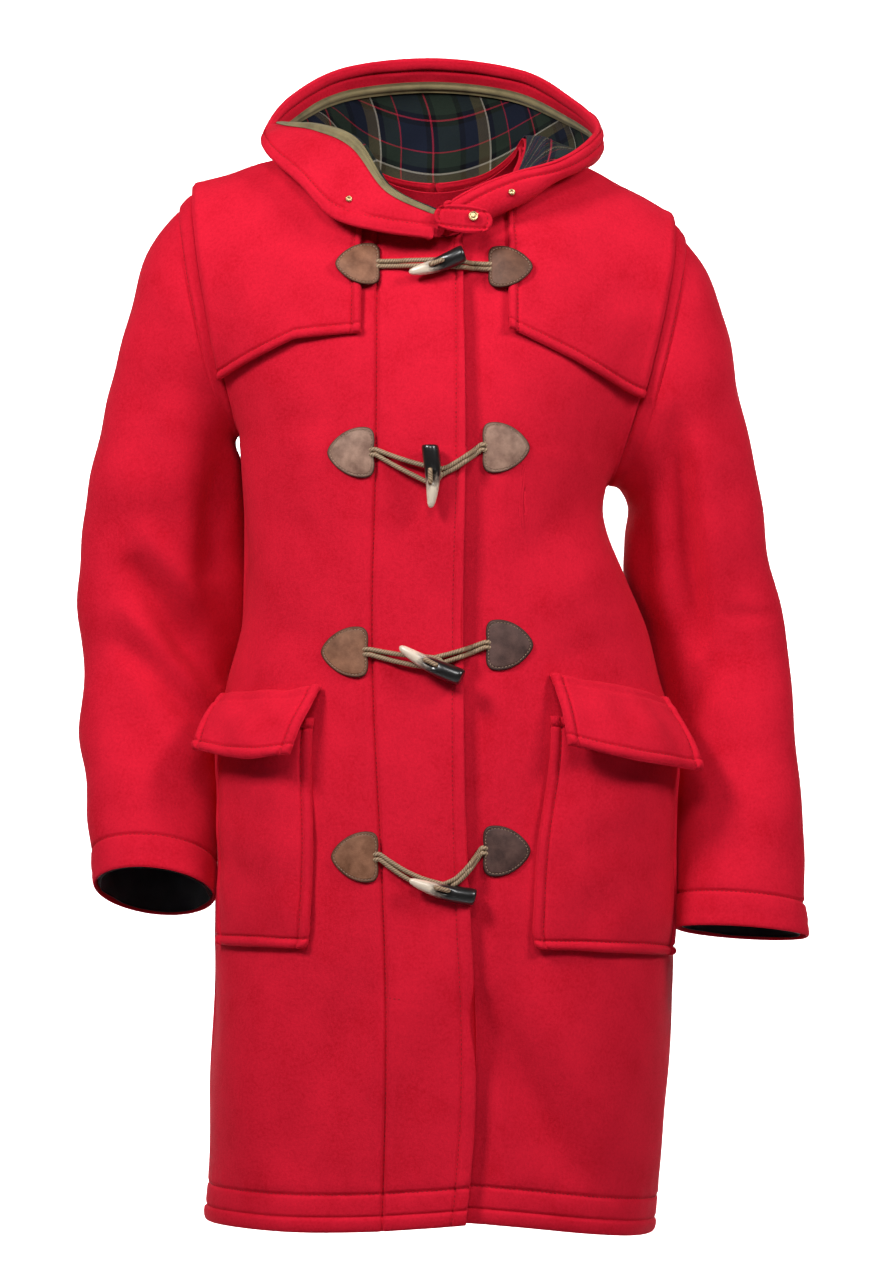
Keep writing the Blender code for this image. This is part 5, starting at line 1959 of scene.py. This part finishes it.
@dataclass
class Surface:
    """The finished fronts, for laying the fastenings on."""

    tree: BVHTree

    @classmethod
    def of(cls, names: tuple[str, ...]) -> "Surface":
        """Gather the meshes of some pieces.

        Args:
            names: the pieces' names.

        Returns:
            The surface.
        """
        vertices, faces = [], []
        for name in names:
            mesh = bpy.data.objects[name].data
            base = len(vertices)
            vertices.extend(vertex.co.copy() for vertex in mesh.vertices)
            faces.extend([base + index for index in polygon.vertices] for polygon in mesh.polygons)
        return cls(BVHTree.FromPolygons(vertices, faces))

    def at(self, x: float, z: float, height: float) -> Grid:
        """Point in front of the cloth.

        Args:
            x: place across.
            z: height.
            height: how far off the cloth.

        Returns:
            The point.
        """
        hit, normal, _, _ = self.tree.ray_cast(Vector((x, -1.0, z)), Vector((0.0, 1.0, 0.0)))
        if hit is None:
            return np.array([x, -0.14 - height, z])
        level = Vector((normal.x * 0.5, -1.0, 0.0)).normalized()
        return np.array(hit + level * height)


@dataclass
class Fastenings:
    """Leather patches, horn toggles and the doubled cords between them."""

    wardrobe: Wardrobe
    cloth: Surface
    patch_width: float = 0.043
    patch_height: float = 0.0445
    leather: float = 0.0024
    cord_radius: float = 0.0021
    cord_step: float = 0.0012
    cord_air: float = 0.0008
    hole_reach: float = 0.0052
    dome: float = 0.0012
    seam_depth: float = 0.0007
    toggle_radius: float = 0.0083
    stand: float = 0.0125
    seam_share: float = 0.885
    toggle_bend: float = 0.0022
    toggle_profile: tuple = (
        (0.000, 0.05), (0.008, 0.20), (0.03, 0.34), (0.08, 0.47), (0.18, 0.61), (0.28, 0.71), (0.35, 0.77),
        (0.38, 0.80), (0.41, 0.83), (0.44, 0.85), (0.50, 0.89), (0.56, 0.93), (0.59, 0.94), (0.62, 0.96),
        (0.65, 0.98), (0.72, 1.00), (0.80, 1.02), (0.88, 1.03), (0.94, 1.02), (0.975, 0.97),
        (0.993, 0.88), (1.000, 0.70), (1.000, 0.40), (0.996, 0.10),
    )
    rows: tuple = table(
        "right left tip butt sag spread scale",
        ((-0.0675, -0.0910), (0.0661, -0.0935), (-0.0220, -0.0995), (0.0240, -0.0820),
         {-1: 0.000, 1: 0.000}, {-1: 0.0024, 1: 0.0026}, (0.94, 0.84)),
        ((-0.0730, -0.2583), (0.0620, -0.2540), (-0.0020, -0.3075), (-0.0033, -0.2520),
         {-1: 0.001, 1: 0.003}, {-1: 0.0070, 1: 0.0024}, (1.0, 1.0)),
        ((-0.0786, -0.4335), (0.0650, -0.4274), (-0.0305, -0.4290), (0.0230, -0.4560),
         {-1: 0.001, 1: 0.001}, {-1: 0.0048, 1: 0.0034}, (1.0, 1.0)),
        ((-0.0694, -0.6131), (0.0624, -0.6079), (-0.0217, -0.6330), (0.0353, -0.6480),
         {-1: 0.004, 1: 0.005}, {-1: 0.0040, 1: 0.0024}, (1.0, 1.0)),
    )
    tones: tuple = (("mid", "deep"), ("pale", "pale"), ("mid", "dark"), ("mid", "dark"))

    def outline(self, tip_side: int, count: int = 96) -> Grid:
        """Rounded pick with its blunt tip pointing away from the coat's centre.

        Args:
            tip_side: sign along X of the side that the tip points to.
            count: how many points it has.

        Returns:
            (count, 2) places as shares of the patch's size.
        """
        upper = np.array([
            (0.505, 0.0), (0.484, 0.080), (0.415, 0.185), (0.290, 0.310), (0.115, 0.423),
            (-0.085, 0.490), (-0.265, 0.502), (-0.385, 0.470), (-0.450, 0.385), (-0.470, 0.255),
            (-0.462, 0.120), (-0.458, 0.0),
        ])
        loop = np.concatenate([upper, upper[-2:0:-1] * np.array([1.0, -1.0]), upper[:1]])
        line = through(loop, np.linspace(0.0, 1.0, 400))
        reach = reach_along(line)
        even = sample(line, reach, np.linspace(0.0, reach[-1], count, endpoint=False))
        return even * np.array([float(tip_side), 1.0])

    def bed(self, centre: tuple[float, float]) -> Grid:
        """Smooth bed of a patch, kept in front of every bump of the cloth.

        Args:
            centre: the patch's middle in x and z.

        Returns:
            Terms of y in 1, x, z, x squared and z squared.
        """
        u, v = np.meshgrid(np.linspace(-0.5, 0.5, 9), np.linspace(-0.5, 0.5, 9))
        x = (u * self.patch_width * 0.9).ravel()
        z = (v * self.patch_height * 0.9).ravel()
        y = np.array([self.cloth.at(centre[0] + a, centre[1] + b, 0.0)[1] for a, b in zip(x, z)])
        terms = np.stack([np.ones_like(x), x, z, x * x, z * z], axis=1)
        fit = np.linalg.lstsq(terms, y, rcond=None)[0]
        fit[0] += np.percentile(y - terms @ fit, 4)
        return fit

    def patch(self, name: str, side: Side, centre: tuple[float, float], scale: tuple) -> Piece:
        """A domed patch with a pressed stitch line, laid on the cloth.

        Args:
            name: the object's name.
            side: side of the wearer.
            centre: its middle in x and z.
            scale: its width and height as shares of the usual ones.

        Returns:
            The patch.
        """
        shares = (1.0, 0.995, 0.975, 0.94, 0.915, 0.895, 0.875, 0.855, 0.83, 0.78, 0.68, 0.52, 0.34, 0.17)
        bed = self.bed(centre)
        outline = self.outline(side.value) * (np.array([self.patch_width, self.patch_height]) * scale)
        count = len(outline)
        vertices = [self.cloth.at(centre[0] + x, centre[1] + z, -0.0010) for x, z in outline]
        uv = [(0.0, 0.0)] * count
        for share in shares:
            rim = math.sqrt(max(0.0, 1 - max(0.0, (share - 0.94) / 0.06) ** 2))
            groove = self.seam_depth * bell(share - self.seam_share, 0.016)
            height = self.leather * (0.25 + 0.75 * rim) - groove + self.dome * (1 - share**2)
            vertices += [self.on_bed(bed, centre, point * share, height) for point in outline]
            uv += [((1 - share) * 2.2, share)] * count
        for height in (self.leather + self.dome, -0.0014):
            vertices.append(self.on_bed(bed, centre, np.zeros(2), height))
            uv.append((1.0, 0.0))
        faces = ring_faces(len(shares) + 1, count, capped=False)
        top = len(shares) * count
        for index in range(count):
            beside = (index + 1) % count
            faces.append((top + index, top + beside, len(vertices) - 2))
            faces.append((beside, index, len(vertices) - 1))
        if side is Side.LEFT:
            faces = [tuple(reversed(face)) for face in faces]
        return add_mesh(name, np.array(vertices), faces, np.array(uv))

    def on_bed(self, bed: Grid, centre: tuple[float, float], offset: Grid, height: float) -> Grid:
        """Point of a patch, raised off its bed.

        Args:
            bed: terms of the bed.
            centre: the patch's middle in x and z.
            offset: offset from the middle.
            height: how far off the bed.

        Returns:
            The point.
        """
        x, z = offset
        y = bed @ np.array([1.0, x, z, x * x, z * z])
        return np.array([centre[0] + x, y - height, centre[1] + z])

    def patch_stitches(self, side: Side, centre: tuple, scale: tuple, stitching: Stitching) -> None:
        """Stitches round a patch, in its pressed line.

        Args:
            side: side of the wearer.
            centre: the patch's middle in x and z.
            scale: its width and height as shares of the usual ones.
            stitching: the mesh that gathers them.
        """
        size = np.array([self.patch_width, self.patch_height]) * scale
        line = self.outline(side.value, 60) * self.seam_share * size
        bed = self.bed(centre)
        points = [self.on_bed(bed, centre, offset, self.leather + 0.0002) for offset in line]
        points.append(points[0])
        stitching.sew(np.array(points), np.tile([0.0, -1.0, 0.0], (len(points), 1)))

    def toggle_ends(self, row: dict) -> Lines:
        """Tip and butt of a toggle, off the cloth."""
        tip, butt = (self.cloth.at(*row[key], self.stand) for key in ("tip", "butt"))
        return tip, butt

    def toggle(self, name: str, row: dict) -> Piece:
        """Horn toggle: curved, pointed at the tip, blunt and notched at the other end.

        Args:
            name: the object's name.
            row: its row of the table.

        Returns:
            The toggle.
        """
        tip, butt = self.toggle_ends(row)
        length = np.linalg.norm(butt - tip)
        axis = (butt - tip) / length
        side = unit(np.cross(axis, [0.0, -1.0, 0.0]))
        out = np.cross(side, axis)
        if out[1] > 0:
            out = -out
        sides = 40
        vertices, uv = [], []
        for along, share in self.toggle_profile:
            middle = tip + axis * length * along + side * self.toggle_bend * math.sin(math.pi * along)
            slot = math.exp(-(((along - 0.50) * length / 0.0075) ** 4))
            for index in range(sides):
                angle = 2 * math.pi * index / sides
                groove = 1.0 - 0.34 * slot * max(0.0, math.sin(angle)) ** 10
                flat = 1.0 - 0.10 * math.cos(angle) ** 2
                ring = (side * math.cos(angle) * flat + out * math.sin(angle)) * groove
                vertices.append(middle + ring * self.toggle_radius * share)
                uv.append((along, index / sides))
        return add_mesh(name, np.array(vertices), ring_faces(len(self.toggle_profile), sides), np.array(uv))

    def tube(self, name: str, route: Grid, radius: float, sides: int = 14) -> Piece:
        """A closed round tube along a smooth curve through a route.

        Args:
            name: the object's name.
            route: (N, 3) points that the curve passes through.
            radius: the tube's radius.
            sides: points round it.

        Returns:
            The tube.
        """
        count = max(24, int(reach_along(route)[-1] / self.cord_step))
        line = through(route, np.linspace(0.0, 1.0, count))
        side = np.cross(unit(line[1] - line[0]), [0.0, 1.0, 0.0])
        vertices, uv = [], []
        for middle, way, reach in zip(line, unit(np.gradient(line, axis=0)), reach_along(line)):
            side = unit(side - way * (side @ way))
            up = np.cross(way, side)
            for turn in range(sides):
                angle = 2 * math.pi * turn / sides
                vertices.append(middle + radius * (side * math.cos(angle) + up * math.sin(angle)))
                uv.append((turn / sides, reach))
        return add_mesh(name, np.array(vertices), ring_faces(count, sides), np.array(uv))

    def cord_route(self, row: dict, side: Side) -> Grid:
        """Way of a doubled cord from its patch to the toggle and back.

        The right one passes behind the toggle and hooks round it; the left one goes through the
        toggle's two holes, so that it shows in the groove across its front.

        Args:
            row: the fastening's row of the table.
            side: side of the wearer.

        Returns:
            (N, 3) points of the route.
        """
        tip, butt = self.toggle_ends(row)
        centre, slack = row[side.word], row["spread"][side.value]
        bed = self.bed(centre)
        goal = tip + (butt - tip) * (0.52 if side is Side.RIGHT else 0.50)
        back = goal + np.array([0.0, self.toggle_radius * 0.55, 0.0])
        spread = self.cord_radius * 1.08
        lanes = {1.0: [], -1.0: []}
        for reach, lift in ((0.36, 0.2), (0.44, 1.2), (0.50, 1.2)):
            for sign, lane in lanes.items():
                offset = np.array([-side.value * reach * self.patch_width, sign * spread])
                lane.append(self.on_bed(bed, centre, offset, self.cord_radius * lift))
        start = (lanes[1.0][-1] + lanes[-1.0][-1]) / 2
        for along in (0.14, 0.28, 0.42, 0.56, 0.72):
            x, y, z = start + (back - start) * along
            z -= row["sag"][side.value] * math.sin(math.pi * along)
            gap = spread + (slack - spread) * along
            for sign, lane in lanes.items():
                fronts = [self.cloth.at(x + step, z + sign * gap, self.cord_radius + self.cord_air)[1]
                          for step in (-0.005, 0.0, 0.005)]
                lane.append(np.array([x, min(fronts + [y] * (along > 0.3)), z + sign * gap]))
        hook = self.hole_hook(goal, butt - tip) if side is Side.LEFT else self.back_hook(back, slack)
        return np.array(lanes[1.0] + hook + lanes[-1.0][::-1])

    def hole_hook(self, goal: Grid, way: Grid) -> list[Grid]:
        """Points of a cord through the toggle's holes and over its front.

        Args:
            goal: the toggle's middle.
            way: from its tip to its butt.

        Returns:
            The points.
        """
        axis = unit(way)
        up = 1.0 if axis[2] > 0 else -1.0
        deep = np.array([0.0, self.toggle_radius * 0.6, 0.0])
        front = np.array([0.0, -self.toggle_radius * 0.86, 0.0])
        upper, lower = (goal + axis * self.hole_reach * sign * up for sign in (1.0, -1.0))
        over = (upper + lower) / 2 + front * 1.06
        return [upper + deep, upper, upper + front, over, lower + front, lower, lower + deep]

    def back_hook(self, back: Grid, slack: float) -> list[Grid]:
        """Points of a cord round the back of the toggle.

        Args:
            back: the middle of the toggle's back.
            slack: half the distance between the cord's two lanes.

        Returns:
            The points.
        """
        beyond = np.array([self.hole_reach, 0.0, 0.0])
        hold = np.array([0.0, 0.0, slack])
        return [back + hold, back + beyond + hold * 0.75, back + beyond * 1.7, back + beyond - hold * 0.75,
                back - hold]

    def build(self) -> None:
        """Make and dress the fastenings."""
        seams = Stitching("patch_stitching", pitch=0.0030, length=0.0021, radius=0.00034)
        for number, row in enumerate(self.rows, start=1):
            for side, tone in zip(Side, self.tones[number - 1]):
                word = side.word
                centre = row[word]
                piece = self.patch(f"leather_{word}_{number}", side, centre, row["scale"])
                dress(piece, self.wardrobe.leather[tone], "leather", f"patch_{word}_{number}")
                self.patch_stitches(side, centre, row["scale"], seams)
                node = f"loop_cord_{number}" if side is Side.RIGHT else f"toggle_cord_{number}"
                route = self.cord_route(row, side)
                dress(self.tube(f"{node}_twist", route, self.cord_radius), self.wardrobe.cord, "cord", node)
            dress(self.toggle(f"horn_toggle_{number}", row), self.wardrobe.horn, "horn", f"toggle_{number}")
        dress(seams.build(), self.wardrobe.waxed_thread, "leather")


# Studio


@dataclass(frozen=True)
class SoftLight:
    """A square soft light aimed at a place."""

    name: str
    place: tuple[float, float, float]
    size: float
    watts: float
    aim: tuple[float, float, float]

    def hang(self) -> None:
        """Link the light."""
        data = bpy.data.lights.new(self.name, "AREA")
        data.shape = "SQUARE"
        data.size = self.size
        data.energy = self.watts
        lamp = bpy.data.objects.new(self.name, data)
        lamp.location = self.place
        way = Vector(self.aim) - Vector(self.place)
        lamp.rotation_euler = way.to_track_quat("-Z", "Y").to_euler()
        bpy.context.scene.collection.objects.link(lamp)


@dataclass
class Studio:
    """Camera, lights, and the plain pale sweep."""

    distance: float = 5.5
    view_height: float = 1.1538
    aim: tuple[float, float, float] = (0.0081, 0.0, -0.4239)
    floor_z: float = -2.9
    floor_front: float = -7.0
    floor_back: float = 5.0
    half_width: float = 9.0
    curve: float = 1.6
    wall_height: float = 7.0
    glow: float = 0.07
    lights: tuple[SoftLight, ...] = (
        SoftLight("key", (-1.6, -1.7, 1.35), 0.7, 68.0, (0.0, 0.0, -0.1)),
        SoftLight("fill", (1.85, -1.55, 1.15), 0.7, 44.0, (0.0, 0.0, -0.1)),
        SoftLight("front", (0.0, -2.3, 1.1), 0.7, 24.0, (0.0, 0.0, -0.2)),
        SoftLight("wall_right", (-2.6, 3.4, 1.2), 1.6, 330.0, (-0.7, 6.6, -0.5)),
        SoftLight("wall_left", (2.6, 3.4, 1.2), 1.6, 330.0, (0.7, 6.6, -0.5)),
    )

    def camera(self) -> None:
        """Long-lens camera level with the coat's middle."""
        data = bpy.data.cameras.new("camera")
        data.sensor_fit = "VERTICAL"
        data.sensor_height = 24.0
        data.lens = data.sensor_height * self.distance / self.view_height
        data.clip_end = 60.0
        camera = bpy.data.objects.new("camera", data)
        camera.location = (self.aim[0], self.aim[1] - self.distance, self.aim[2])
        camera.rotation_euler = (math.pi / 2, 0.0, 0.0)
        bpy.context.scene.collection.objects.link(camera)
        bpy.context.scene.camera = camera
        bpy.context.scene.view_settings.view_transform = "Standard"

    def sweep(self) -> None:
        """Floor that curves up into a wall."""
        profile = [(self.floor_front, self.floor_z)]
        for angle in np.linspace(0.0, math.pi / 2, 17):
            rise = self.floor_z + self.curve * (1 - math.cos(angle))
            profile.append((self.floor_back + self.curve * math.sin(angle), rise))
        profile.append((self.floor_back + self.curve, self.floor_z + self.wall_height))
        vertices = [(x, y, z) for y, z in profile for x in (-self.half_width, self.half_width)]
        faces = [(2 * i, 2 * i + 1, 2 * i + 3, 2 * i + 2) for i in range(len(profile) - 1)]
        sweep = add_mesh("studio_sweep", np.array(vertices), faces)
        sweep.data.materials.append(PalePaint().make())

    def world(self) -> None:
        """Dim even surroundings."""
        world = bpy.data.worlds.new("studio")
        world.use_nodes = True
        background = world.node_tree.nodes["Background"]
        background.inputs["Color"].default_value = (*grey(1.0), 1.0)
        background.inputs["Strength"].default_value = self.glow
        bpy.context.scene.world = world

    def build(self) -> None:
        """Set up the studio."""
        self.camera()
        self.sweep()
        self.world()
        for light in self.lights:
            light.hang()


def write_sizes() -> None:
    """Bring the view layer up to date."""
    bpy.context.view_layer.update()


def main() -> None:
    """Build the studio and the coat in order."""
    logging.basicConfig(level=logging.INFO, format="%(message)s")
    Studio().build()
    wardrobe = Wardrobe()
    stitching = Stitching("topstitching")
    for part in (Body, StormFlaps, Sleeves, Pockets, Hood, ThroatTab):
        part(wardrobe, stitching).build()
    under = tuple(f"{piece}_{side.word}_cloth" for piece in ("front", "storm_flap") for side in Side)
    Fastenings(wardrobe, Surface.of(under)).build()
    dress(stitching.build(), wardrobe.thread, "wool")
    write_sizes()


if __name__ == "__main__":
    main()
